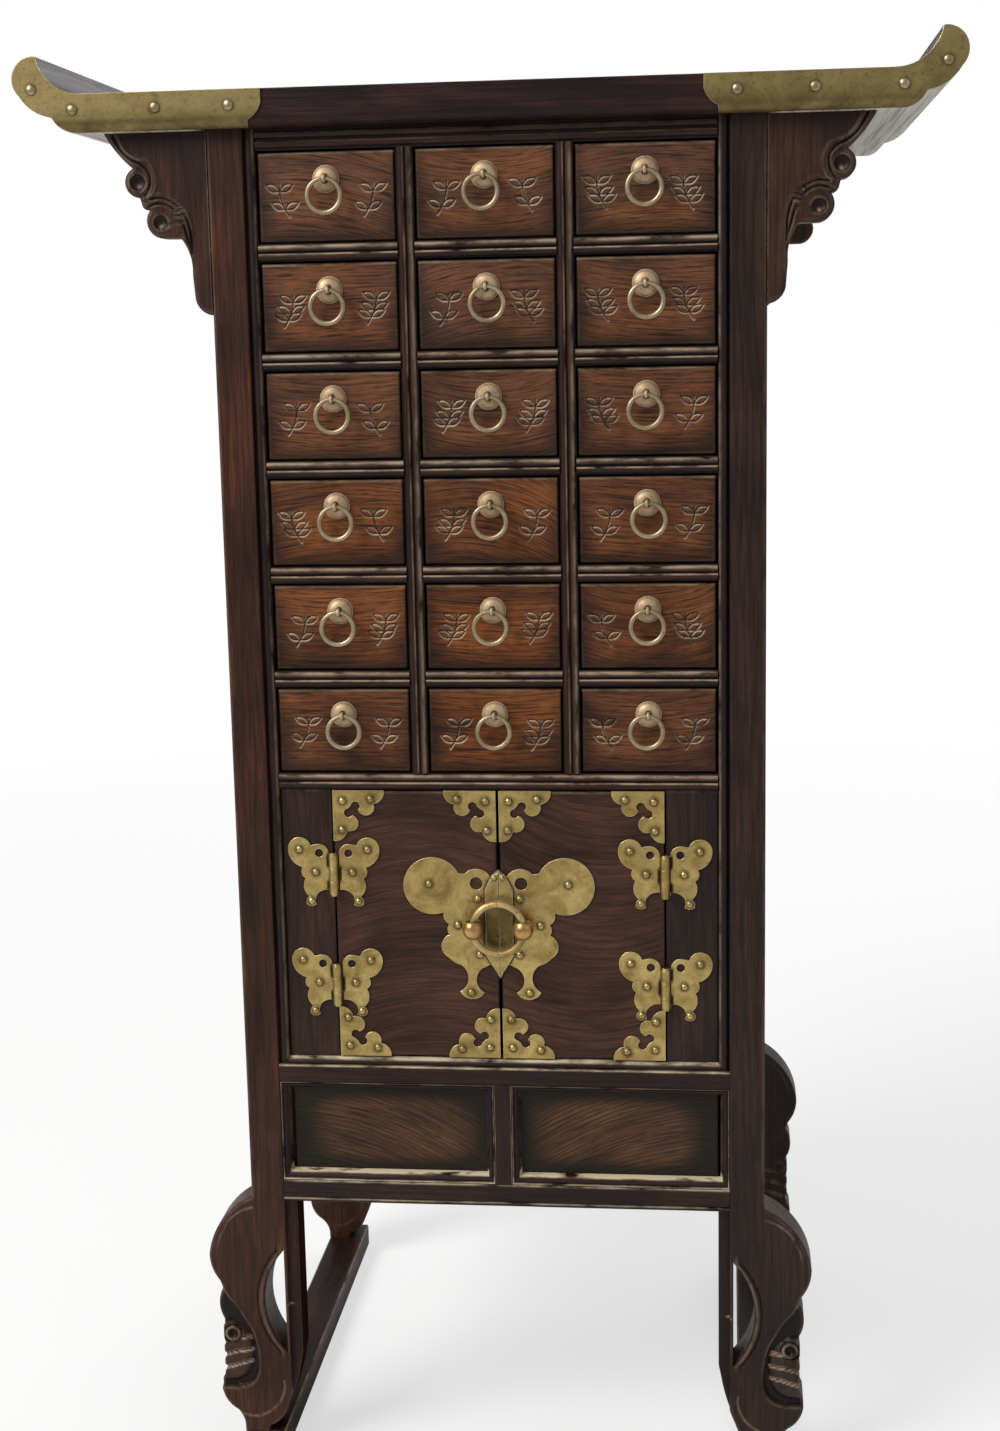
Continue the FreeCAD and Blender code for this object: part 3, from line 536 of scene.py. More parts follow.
def hoop(
    centre: Array, first: Array, second: Array, radius: float, wire: Array | float, width: Array | float
) -> Patch:
    """A closed loop of strap: an oval section carried round a circle in a plane.

    Args:
        centre: the circle's centre.
        first: the unit direction that the loop starts from.
        second: the plane's other unit direction.
        radius: radius of the circle.
        wire: half the section's depth, all round or at each step.
        width: half the section's width, all round or at each step.

    Returns:
        The patch.
    """
    turn = np.linspace(0.0, 2 * math.pi, HOOP_STEPS)
    around = np.linspace(0.0, 2 * math.pi, HOOP_SIDES, endpoint=False)
    spoke = np.cos(turn)[:, None] * first + np.sin(turn)[:, None] * second
    deep = np.reshape(wire, (-1, 1)) * np.cos(around)
    wide = np.reshape(width, (-1, 1)) * np.sin(around)
    points = centre + (radius + deep)[..., None] * spoke[:, None] + wide[..., None] * np.cross(first, second)
    return Patch(points, GRAIN_X, closed=True)


# Finishes.

class Grain(Enum):
    """Where a wood finish takes its grain from: a piece's own map, or an axis of the frame."""

    MAPPED = "mapped"
    ALONG_X = "XZY"
    ALONG_Y = "YZX"
    ALONG_Z = "ZXY"
    UNDER = "YXZ"
    AROUND = "around"


class Recipe:
    """One material and short calls that lay its nodes."""

    def __init__(self, name: str) -> None:
        """Start an empty material.

        Args:
            name: its name.
        """
        self.material = bpy.data.materials.new(name)
        self.material.use_nodes = True
        self.tree = self.material.node_tree
        self.tree.nodes.clear()

    def add(self, kind: str, sockets: dict | None = None, **settings: object) -> bpy.types.Node:
        """Lay one node.

        Args:
            kind: its type, without the common first word.
            sockets: a value or another node's output for each input, by name or number.
            settings: its own properties.

        Returns:
            The node.
        """
        node = self.tree.nodes.new(f"ShaderNode{kind}")
        for name, value in settings.items():
            setattr(node, name, value)
        for key, value in (sockets or {}).items():
            if isinstance(value, bpy.types.NodeSocket):
                self.tree.links.new(value, node.inputs[key])
            else:
                node.inputs[key].default_value = value
        return node

    def sum(self, operation: str, first: object, second: object = 0.0) -> bpy.types.NodeSocket:
        """The result of one arithmetic step on numbers or outputs."""
        return self.add("Math", {0: first, 1: second}, operation=operation).outputs[0]

    def scaled(self, value: object, factor: object, plus: object = 0.0) -> bpy.types.NodeSocket:
        """A number or output times a factor, plus another."""
        return self.add("Math", {0: value, 1: factor, 2: plus}, operation="MULTIPLY_ADD").outputs[0]

    def between(self, value: object, low: float, high: float) -> bpy.types.NodeSocket:
        """A value spread from low..high to 0..1 and held there."""
        return self.add("MapRange", {"Value": value, "From Min": low, "From Max": high}).outputs[0]

    def noise(self, place: object, stretch: Point, detail: float = 2.0, rough: float = 0.5,
              bend: float = 0.0) -> bpy.types.NodeSocket:
        """Cloudy noise on a place that is first scaled along its three directions.

        Args:
            place: the place.
            stretch: waves a metre along each direction.
            detail: how many finer layers it has.
            rough: how strong the finer layers are.
            bend: how far it is bent by itself.

        Returns:
            The noise, from 0 to 1.
        """
        scaled = self.add("VectorMath", {0: place, 1: stretch}, operation="MULTIPLY").outputs[0]
        sockets = {"Vector": scaled, "Scale": 1.0, "Detail": detail, "Roughness": rough, "Distortion": bend}
        return self.add("TexNoise", sockets).outputs[0]

    def mix(self, share: object, first: object, second: object, way: str = "MIX") -> bpy.types.NodeSocket:
        """Two colours mixed by a share."""
        return self.add("Mix", {0: share, 6: first, 7: second}, data_type="RGBA", blend_type=way).outputs[2]

    def quality(self, name: str) -> bpy.types.NodeSocket:
        """One of the piece's own qualities, or nothing where it has none."""
        return self.add("Attribute", attribute_name=name).outputs["Fac"]

    def place(self, grain: Grain) -> bpy.types.NodeSocket:
        """A place as lengths along the grain, across it and into it.

        Args:
            grain: where the grain comes from.

        Returns:
            The place.
        """
        if grain is Grain.MAPPED:
            return self.add("UVMap", uv_map=GRAIN_MAP).outputs[0]
        spot = self.add("SeparateXYZ", {0: self.add("TexCoord").outputs["Object"]}).outputs
        if grain is Grain.AROUND:
            return self.add("CombineXYZ", {0: self.sum("ADD", spot[0], spot[1]), 1: spot[2]}).outputs[0]
        order = {number: spot["XYZ".index(axis)] for number, axis in enumerate(grain.value)}
        return self.add("CombineXYZ", order).outputs[0]

    def edge_wear_and_highlight(self, normal: object) -> bpy.types.NodeSocket:
        """How sharply the surface turns, from the angle between its own and its rounded direction.

        Args:
            normal: the rounded direction.

        Returns:
            The share of wearing and painted edge highlight, from 0 to 1.
        """
        true = self.add("NewGeometry").outputs["Normal"]
        likeness = self.add("VectorMath", {0: true, 1: normal}, operation="DOT_PRODUCT").outputs["Value"]
        return self.between(self.sum("SUBTRACT", 1.0, likeness), 0.01, 0.2)

    def finish(self, sockets: dict) -> bpy.types.Material:
        """Close the material with its surface.

        Args:
            sockets: a value or another node's output for each input of the surface.

        Returns:
            The material.
        """
        surface = self.add("BsdfPrincipled", sockets).outputs[0]
        self.add("OutputMaterial", {"Surface": surface})
        return self.material


# The haze on the upper drawers, and the heights between which it thickens.
HAZE = "#5e4d44"
HAZE_LEVELS = (0.62, 0.95)

# Waves a metre of the wood's figure: along the grain, across it and into it.
SWAY_WAVES = (4.0, 13.0, 13.0)
FIBRE_WAVES = (16.0, 480.0, 480.0)
CLOUD_WAVES = (11.0, 30.0, 30.0)
STREAK_WAVES = (36.0, 820.0, 820.0)
PORE_WAVES = (110.0, 1700.0, 1700.0)
RUB_WAVES = (35.0, 90.0, 90.0)
RIB_WAVES = (480.0, 7.0, 480.0)

# How far soiling and painted shade cover the wood, how much a board's tone lightens and enriches it, and the
# depth of its figure.
DIRT_AND_SHADE_COVER = 0.88
TONE_LIGHT = 0.45
TONE_STRENGTH = 0.2
FIGURE_DEPTH = 0.25 * MM
BEVEL_SAMPLES = 6

# Waves a metre of the brass's tarnish, specks, scratches and dents, and how crowded a corner is that takes
# soiling and painted shade.
TARNISH_WAVES = (55.0, 55.0, 55.0)
SPECK_WAVES = (420.0, 420.0, 420.0)
SCRATCH_WAVES = (60.0, 300.0, 1500.0)
DENT_WAVES = (140.0, 140.0, 140.0)
CROWDED_LEVELS = (0.004, 0.055)
DENT_DEPTH = 0.3 * MM
# How far the shade painted below a level fades in.
SHADE_BELOW_FADE = 14.0 * MM


@dataclass(frozen=True)
class WoodFinish:
    """Stained and waxed wood: growth lines, fibre, pores, clouds of tone, soiling and painted shade in cuts,
    wearing and painted highlights on crests.
    """

    name: str
    deep: str
    middle: str
    pale: str
    grain: Grain = Grain.MAPPED
    lines: float = 130.0
    swirl: float = 4.0
    line_strength: float = 0.5
    pores: float = 0.45
    polish: float = 0.42
    shine: float = 0.2
    rubbed_and_lit: str = "#998570"
    rub_and_highlight_strength: float = 0.85
    soft_edge: float = 0.0
    relief: float = 0.35
    grime_and_shade: str = "#0e0908"
    haze: float = 0.0
    underside_glare: str = ""

    @staticmethod
    def underside_glare_share(r: Recipe) -> bpy.types.NodeSocket:
        """How much painted glare the underside takes: where it faces down beyond the posts, and less along
        its ribs.

        Args:
            r: the recipe that it is laid in.

        Returns:
            The share of the painted glare's colour.
        """
        spot = r.add("TexCoord").outputs
        facing = r.add("SeparateXYZ", {0: spot["Normal"]}).outputs[2]
        out = r.sum("ABSOLUTE", r.add("SeparateXYZ", {0: spot["Object"]}).outputs[0])
        below = r.between(facing, -0.15, -0.5)
        beyond = r.between(out, POST_OUTSIDE, 1.05 * POST_OUTSIDE)
        ribs = r.between(r.noise(spot["Object"], RIB_WAVES, 2.0, 0.6), 0.47, 0.6)
        return r.sum("MULTIPLY", r.sum("MULTIPLY", below, beyond), r.scaled(ribs, -0.4, 0.94))

    def material(self) -> bpy.types.Material:
        """Lay the finish.

        Growth lines are a sine of the distance across the grain, bent by slow noise; fibre, streaks and pores
        are noise stretched along the grain; tone, soiling with painted shade, and wearing with painted
        highlights come from the piece's own qualities.

        Returns:
            The material.
        """
        r = Recipe(self.name)
        place = r.place(self.grain)
        across = r.add("SeparateXYZ", {0: place}).outputs[1]
        sway = r.noise(place, SWAY_WAVES, 2.5, 0.55)
        bend = r.scaled(r.sum("SUBTRACT", sway, 0.5), 2.0 * self.swirl)
        phase = r.scaled(across, self.lines, bend)
        wave = r.scaled(r.sum("SINE", r.scaled(phase, 2 * math.pi)), 0.5, 0.5)
        late = r.sum("POWER", wave, 3.0)
        fibre = r.noise(place, FIBRE_WAVES, 3.0, 0.6)
        cloud = r.noise(place, CLOUD_WAVES, 3.0, 0.55, 0.4)
        streak = r.between(r.noise(place, STREAK_WAVES, 2.0, 0.6), 0.5, 0.64)
        pore = r.between(r.noise(place, PORE_WAVES, 1.0), 0.56, 0.7)
        specks = r.sum("MAXIMUM", streak, pore)
        ramp = r.add("ValToRGB", {0: r.scaled(fibre, 0.4, r.scaled(cloud, 0.6))})
        stops = ramp.color_ramp.elements
        stops[0].position, stops[0].color = 0.34, hue(self.deep)
        stops[1].position, stops[1].color = 0.66, hue(self.pale)
        stops.new(0.5).color = hue(self.middle)
        colour = r.mix(r.scaled(late, self.line_strength), ramp.outputs[0], hue(self.deep))
        if self.haze:
            level = r.add("SeparateXYZ", {0: r.add("TexCoord").outputs["Object"]}).outputs[2]
            colour = r.mix(r.scaled(r.between(level, *HAZE_LEVELS), self.haze), colour, hue(HAZE))
        colour = r.mix(r.scaled(specks, self.pores), colour, hue(self.grime_and_shade))
        tone = r.quality("tone")
        toned = {"Saturation": r.scaled(tone, TONE_STRENGTH, 1.0), "Value": r.scaled(tone, TONE_LIGHT, 1.0)}
        colour = r.add("HueSaturation", {**toned, "Color": colour}).outputs[0]
        # The dark quality paints soiling, and shade in cuts, quirks and recesses, with the grime_and_shade
        # colour.
        colour = r.mix(r.scaled(r.quality("dark"), DIRT_AND_SHADE_COVER), colour, hue(self.grime_and_shade))
        # A pale glare painted on the downward faces of the top's ends, as light from the white surroundings.
        if self.underside_glare:
            colour = r.mix(self.underside_glare_share(r), colour, hue(self.underside_glare))
        worn = r.quality("worn")
        bump = {"Strength": self.relief, "Distance": FIGURE_DEPTH}
        if self.soft_edge:
            bump["Normal"] = r.add("Bevel", {"Radius": self.soft_edge}, samples=BEVEL_SAMPLES).outputs[0]
            # Turned edges take wearing and a painted highlight.
            worn = r.sum("MAXIMUM", worn, r.edge_wear_and_highlight(bump["Normal"]))
        # The pale colour is wearing on edges and highlights painted where crests and slopes catch the light.
        patchy = r.between(r.noise(place, RUB_WAVES, 4.0, 0.65), 0.36, 0.6)
        rub_and_highlight = r.scaled(r.sum("MULTIPLY", worn, patchy), self.rub_and_highlight_strength)
        colour = r.mix(rub_and_highlight, colour, hue(self.rubbed_and_lit))
        rough = r.scaled(fibre, 0.22, self.polish - 0.11)
        bump["Height"] = r.sum("SUBTRACT", r.scaled(fibre, 0.6), r.scaled(late, 0.35, specks))
        surface = {"Base Color": colour, "Roughness": rough, "Normal": r.add("Bump", bump).outputs[0]}
        return r.finish({**surface, "Specular IOR Level": self.shine})


@dataclass(frozen=True)
class BrassFinish:
    """Aged brass: clouds of tarnish, soiling and painted shade in corners and round nails, painted highlights
    on edges, and fine scratches.
    """

    name: str
    bright: str
    base: str
    tarnish: str
    grime_and_shade: str = "#1a130b"
    roughness: float = 0.36
    metal: float = 1.0
    grime_and_shade_reach: float = 3.2 * MM
    grime_and_shade_strength: float = 0.9
    edge: float = 0.6 * MM
    ring_shadow_radius: float = 0.0
    ring_shadow_centre: Point = (0.0, -177.0 * MM, 404.0 * MM)
    shade_below: float = 0.0

    def material(self) -> bpy.types.Material:
        """Lay the finish: noise mixes base and tarnish, crowded places take soiling with painted shade, and
        turned edges take a painted highlight.

        Returns:
            The material.
        """
        r = Recipe(self.name)
        place = r.add("TexCoord").outputs["Object"]
        cloud = r.between(r.noise(place, TARNISH_WAVES, 5.0, 0.62, 0.6), 0.35, 0.68)
        speck = r.between(r.noise(place, SPECK_WAVES, 3.0, 0.6), 0.56, 0.74)
        scratch, dents = r.noise(place, SCRATCH_WAVES, 2.0), r.noise(place, DENT_WAVES, 2.0)
        normal = r.add("Bevel", {"Radius": self.edge}, samples=BEVEL_SAMPLES).outputs[0]
        # Ambient occlusion paints shade, with soiling, into corners and round nails.
        open_air = r.add("AmbientOcclusion", {"Distance": self.grime_and_shade_reach}, samples=8, only_local=True)
        crowded = r.sum("SUBTRACT", 1.0, open_air.outputs["AO"])
        dirt_and_shade = r.scaled(r.between(crowded, *CROWDED_LEVELS), self.grime_and_shade_strength)
        colour = r.mix(cloud, hue(self.base), hue(self.tarnish))
        colour = r.mix(r.scaled(speck, 0.45), colour, hue(self.grime_and_shade))
        # A shadow of the ring painted on the strip inside it.
        if self.ring_shadow_radius:
            far = r.add("VectorMath", {0: place, 1: self.ring_shadow_centre}, operation="DISTANCE").outputs["Value"]
            shade = r.scaled(r.between(far, 1.4 * self.ring_shadow_radius, self.ring_shadow_radius), 0.64)
            colour = r.mix(shade, colour, hue(self.grime_and_shade))
        # Shade painted where the corner plates curve under the top's edge, darker downwards.
        if self.shade_below:
            height = r.add("SeparateXYZ", {0: place}).outputs[2]
            shade = r.scaled(r.between(height, self.shade_below + SHADE_BELOW_FADE, self.shade_below), 0.5)
            colour = r.mix(shade, colour, hue(self.grime_and_shade))
        colour = r.mix(dirt_and_shade, colour, hue(self.grime_and_shade))
        # Edges painted bright as a highlight.
        colour = r.mix(r.scaled(r.edge_wear_and_highlight(normal), 0.9), colour, hue(self.bright))
        rough = r.scaled(dirt_and_shade, 0.25, r.scaled(cloud, 0.16, self.roughness))
        uneven = r.scaled(scratch, 0.3, dents)
        sockets = {"Strength": 0.25, "Distance": DENT_DEPTH, "Height": uneven, "Normal": normal}
        bump = r.add("Bump", sockets).outputs[0]
        return r.finish({"Base Color": colour, "Roughness": rough, "Normal": bump, "Metallic": self.metal})


@dataclass
class Finishes:
    """Every finish on the cabinet, made once."""

    def __post_init__(self) -> None:
        """Make the materials."""
        dark_wood = {"deep": "#170e0b", "middle": "#2b1a15", "pale": "#40271e"}
        self.frame = WoodFinish("dark_frame_wood", **dark_wood, lines=170.0, line_strength=0.35).material()
        # The moulding's cream is wearing and a highlight painted on its slopes that face up to the light.
        self.moulding = WoodFinish("moulding_wood", **dark_wood, lines=170.0, line_strength=0.35,
                                   rubbed_and_lit="#cbbb9c", rub_and_highlight_strength=0.9).material()
        post_wood = {"deep": "#1b110d", "middle": "#34211a", "pale": "#4b2f24", "lines": 150.0,
                     "line_strength": 0.4, "rubbed_and_lit": "#8d7a66", "rub_and_highlight_strength": 0.7}
        self.posts = WoodFinish("post_wood", **post_wood).material()
        self.post_sides = WoodFinish("post_side_wood", **post_wood, shine=0.0).material()
        self.case = WoodFinish("case_panel_wood", "#1c0f0c", "#34201a", "#4a2c22", Grain.ALONG_Z,
                               lines=90.0, swirl=7.0, soft_edge=1.2 * MM).material()
        self.band = WoodFinish("case_rail_wood", **dark_wood, grain=Grain.AROUND,
                               soft_edge=1.5 * MM).material()
        self.top = WoodFinish("top_board_wood", "#150c0b", "#281816", "#3c241f", Grain.ALONG_X, lines=70.0,
                              swirl=6.0, soft_edge=1.2 * MM, polish=0.36, underside_glare="#d6d0c4").material()
        self.scroll = WoodFinish("scroll_end_wood", "#170d0b", "#2a1915", "#40261f", Grain.UNDER, lines=120.0,
                                 swirl=3.0, soft_edge=1.2 * MM, polish=0.5, pores=0.2, relief=0.05,
                                 underside_glare="#d6d0c4").material()
        self.drawer = WoodFinish("drawer_elm", "#371d0c", "#703f1e", "#8d552c", lines=300.0, swirl=5.0,
                                 haze=0.34, line_strength=0.26, pores=0.74, polish=0.4,
                                 rubbed_and_lit="#b39a7c").material()
        self.door = WoodFinish("door_elm", "#24140e", "#44291e", "#573626", lines=105.0, swirl=3.5,
                               line_strength=0.32, pores=0.5, polish=0.36).material()
        self.skirt = WoodFinish("skirt_elm", "#291a10", "#553722", "#6c4a2e", lines=300.0, swirl=5.0,
                                line_strength=0.5, pores=0.7, grime_and_shade="#10120d").material()
        self.jamb = WoodFinish("jamb_wood", "#1c110e", "#30201a", "#412c23", lines=140.0).material()
        self.inner = WoodFinish("inner_paulownia", "#7d5a38", "#a37d52", "#bd9a6c", lines=110.0, swirl=3.0,
                                line_strength=0.3, pores=0.3, polish=0.6, grime_and_shade="#2c2015").material()
        self.inside = WoodFinish("case_inside_wood", "#5e4027", "#7c583a", "#94714e", Grain.ALONG_Y,
                                 lines=90.0, line_strength=0.3, pores=0.3, polish=0.65,
                                 grime_and_shade="#2c2015").material()
        self.plate = BrassFinish("plate_brass", "#f6e9bf", "#ccb373", "#917947",
                                 ring_shadow_radius=13.0 * MM).material()
        self.corner = BrassFinish("corner_brass", "#e6d7aa", "#aa9665", "#7c6a45",
                                  shade_below=945.0 * MM).material()
        self.ring = BrassFinish("ring_brass", "#efe3c6", "#b3a284", "#8a7759", grime_and_shade_strength=0.5,
                                metal=0.8).material()
        self.dome = BrassFinish("dome_brass", "#f2debd", "#c7aa88", "#a28a6a", grime_and_shade_reach=2.2 * MM,
                                roughness=0.5, metal=0.65).material()
        self.pull = BrassFinish("door_pull_brass", "#fbecc4", "#cdb27a", "#9c8250", grime_and_shade_strength=0.3,
                                roughness=0.4, metal=0.75).material()
        self.nail = BrassFinish("nail_brass", "#efe4cc", "#b3a486", "#857759", grime_and_shade_strength=0.4,
                                edge=0.3 * MM, roughness=0.32).material()
        self.cup = BrassFinish("cup_brass", "#ffeec8", "#cda468", "#8f7444", grime_and_shade_strength=0.6, metal=0.85,
                               roughness=0.24).material()


# Sub-assemblies.

@dataclass
class DrawerBank:
    """Eighteen drawers, each with an elm face, a paler box, a domed pull and a forged ring."""

    finishes: Finishes
    face: float = -176.0 * MM
    thickness: float = 14.0 * MM
    rounding: float = 2.0 * MM
    pitch: float = 0.5 * MM
    side_thickness: float = 7.0 * MM
    side_height: float = 50.0 * MM
    bottom_thickness: float = 5.0 * MM
    pull_height: float = 40.45 * MM
    dome_radius: float = 8.5 * MM
    dome_height: float = 5.0 * MM
    eye_reach: float = 8.0 * MM
    eye_radius: float = 2.3 * MM
    ring_radius: float = 11.0 * MM
    ring_wire: float = 1.35 * MM
    ring_swell: float = 0.4 * MM
    cut_depth: float = 0.8 * MM
    cut_width: float = 0.62 * MM
    sprig_reach: float = 28.0 * MM
    sprig_size: float = 10.4 * MM
    sprig_drop: float = 2.0 * MM
    lip_height: float = 0.7 * MM
    lip_reach: tuple[float, float] = (0.3 * MM, 0.6 * MM)
    lip_highlight: float = 1.75
    eye_wire: float = 0.52 * MM
    eye_width: float = 1.1 * MM
    box_rounding: float = 0.8 * MM
    seed: int = 1296
    turn_spread: float = 0.08
    bow_spread: float = 2.4
    tone_spread: float = 0.16
    drop_spread: float = 0.6 * MM
    lean_spread: float = 0.07

    def build(self) -> None:
        """Make every drawer from the place of its node."""
        chance = np.random.default_rng(self.seed)
        for row in range(1, ROWS + 1):
            for column in range(1, COLUMNS + 1):
                self.drawer(f"r{row}_c{column}", chance)

    def sprig(self, centre: Array, lean: float, pairs: int) -> list[Array]:
        """Strokes of a leafy twig.

        The stem is a shallow parabola; each leaf is two half sine bows from the stem to the leaf's tip.

        Args:
            centre: the twig's middle, across and up.
            lean: 1 or -1 for the side that it leans to.
            pairs: how many pairs of leaves it has.

        Returns:
            One line for each stroke.
        """
        rise = np.linspace(-1.0, 1.0, 10)
        bend = lean * (0.3 * rise + 0.2 * (1 - rise ** 2))
        stem = centre + self.sprig_size * np.stack([bend, rise], axis=-1)
        strokes = [stem]
        share = np.linspace(0.0, 1.0, 7)[:, None]
        bow = np.sin(math.pi * share)
        for at in np.linspace(2, 7, pairs).astype(int):
            for side in (-1.0, 1.0):
                reach = self.sprig_size * np.array([side * 0.85, 0.42])
                normal = 0.22 * np.array([-reach[1], reach[0]])
                strokes.extend(stem[at] + share * reach + sign * bow * normal for sign in (-1.0, 1.0))
        return strokes

    def drawer(self, name: str, chance: np.random.Generator) -> None:
        """Make one drawer and its pull.

        The twigs are V cuts: depth falls in a straight line from a stroke to either side of it; the cut is
        painted dark as shade, and its lower lip takes a painted highlight.

        Args:
            name: its row and column, as in its node's name.
            chance: the source of each board's own tone and figure.
        """
        low, high = (np.array(corner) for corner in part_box(f"drawer_{name}"))
        middle = (low + high) / 2
        shift = tuple(chance.uniform(0.0, 9.0, 2))
        grain = replace(GRAIN_X, shift=shift, turn=chance.normal(0.0, self.turn_spread),
                        bow=chance.normal(0.0, self.bow_spread), heart=tuple(middle))
        front = FacedBoard(np.array([low[0], self.face, low[2]]),
                           np.array([high[0], self.face + self.thickness, high[2]]),
                           self.rounding, self.pitch, grain, chance.normal(0.0, self.tone_spread))
        flat = np.stack([front.x, front.z], axis=-1)
        strokes = []
        for side in (-1.0, 1.0):
            drop = chance.normal(-self.sprig_drop, self.drop_spread)
            spot = middle[[0, 2]] + np.array([side * self.sprig_reach, drop])
            strokes += self.sprig(spot, side * chance.choice([-1.0, 1.0]), int(chance.integers(2, 4)))
        nearest = np.min([distance_to(flat, stroke) for stroke in strokes], axis=0)
        cut = self.cut_depth * np.clip(1.0 - nearest / (1.3 * self.cut_width), 0.0, 1.0)
        # A highlight painted on each cut's lower lip, shade painted down the cut, and the dark of old polish.
        lip = ridge(np.roll(nearest, -1, axis=0), self.cut_width) * smooth(nearest, *self.lip_reach)
        dirt_and_shade = ridge(nearest, 0.8 * self.cut_width) + 0.72 * smooth(self.rub_line(front, middle), 0.6, 1.15)
        patches = front.patches(cut, dirt_and_shade, self.lip_highlight * lip)
        patches += self.box(low, high, replace(GRAIN_Y, shift=shift))
        make_piece(f"drawer_{name}_dressed", patches, [self.finishes.drawer, self.finishes.inner],
                   f"drawer_{name}", [f"drawer_{name}"])
        self.pull(name, np.array([middle[0], self.face, low[2] + self.pull_height]))
        self.ring(name, chance.normal(0.0, self.lean_spread))

    @staticmethod
    def rub_line(front: FacedBoard, middle: Array) -> Array:
        """Dark of old polish on a face: 0 over most of it, growing to its lower left and round its edges.

        Args:
            front: the drawer's front board.
            middle: the middle of the drawer.

        Returns:
            The dark at each point of the face, before it is spread from 0 to 1.
        """
        half = (front.high - front.low) / 2
        across, up = (front.x - middle[0]) / half[0], (front.z - middle[2]) / half[2]
        return np.maximum(np.abs(across), np.abs(up)) - 0.06 * across - 0.2 * up

    def box(self, low: Array, high: Array, grain: GrainMap) -> list[Patch]:
        """Sides, back and bottom behind a drawer's face, each a board with eased edges.

        Args:
            low: the drawer's lowest corner.
            high: its highest corner.
            grain: how the boards' grain lies.

        Returns:
            One patch for each board.
        """
        start = self.face + self.thickness
        wall, edge = self.side_thickness, self.box_rounding
        floor, top = low[2] + self.bottom_thickness, low[2] + self.side_height
        boards = [
            ([low[0], start, low[2]], [low[0] + wall, high[1], top], 1),
            ([high[0] - wall, start, low[2]], [high[0], high[1], top], 1),
            ([low[0] + wall, high[1] - wall, floor], [high[0] - wall, high[1], top], 0),
            ([low[0] + wall, start, low[2]], [high[0] - wall, high[1], floor], 1),
        ]
        return [rounded_board(a, b, edge, axis, grain, finish=1) for a, b, axis in boards]

    def pull(self, name: str, centre: Array) -> None:
        """A domed plate with a thin lip, a stem and the strap eye that a ring hangs in.

        The dome is a quarter ellipse, a little squared at its rim, that rises from the lip.

        Args:
            name: the drawer's row and column.
            centre: the middle of the plate, on the drawer's face.
        """
        swell = np.linspace(0.0, math.pi / 2, 12)
        radius, height = self.dome_radius, self.dome_height
        rise = self.lip_height + (height - self.lip_height) * np.sin(swell)
        dome = np.stack([radius * np.cos(swell) ** 0.82, rise], axis=-1)
        lip = np.array([(0.0, -0.4), (8.9, -0.4), (9.0, 0.3), (8.8, 0.7)]) * MM
        stem = np.array([(0.0, 3.6), (1.5, 3.6), (1.0, 4.8), (1.15, 5.6), (0.0, 5.8)]) * MM
        eye = centre - self.eye_reach * ACROSS_Y
        patches = [
            turned(np.concatenate([lip, dome, [[0.0, height]]]), centre, -ACROSS_Y, 36),
            turned(stem, centre, -ACROSS_Y, 12),
            hoop(eye, ACROSS_Y, ACROSS_Z, self.eye_radius, self.eye_wire, self.eye_width),
        ]
        make_piece(f"pull_{name}", patches, [self.finishes.dome], f"drawer_{name}", crease=50.0)

    def ring(self, name: str, lean: float) -> None:
        """A forged ring that hangs in its eye, leaning to one side; its wire swells away from the eye.

        Args:
            name: the drawer's row and column.
            lean: the angle that it leans by, in radians.
        """
        low, high = (np.array(corner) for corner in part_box(f"ring_{name}"))
        down = math.sin(lean) * ACROSS_X - math.cos(lean) * ACROSS_Z
        centre = (low + high) / 2 + self.ring_radius * (down + ACROSS_Z)
        away = np.sin(np.linspace(0.0, math.pi, HOOP_STEPS))
        wire = self.ring_wire + self.ring_swell * smooth(away, 0.2, 0.55)
        loop = hoop(centre, -down, np.cross(ACROSS_Y, down), self.ring_radius, wire, wire)
        make_piece(f"ring_{name}_forged", [loop], [self.finishes.ring], f"ring_{name}",
                   [f"ring_{name}"])


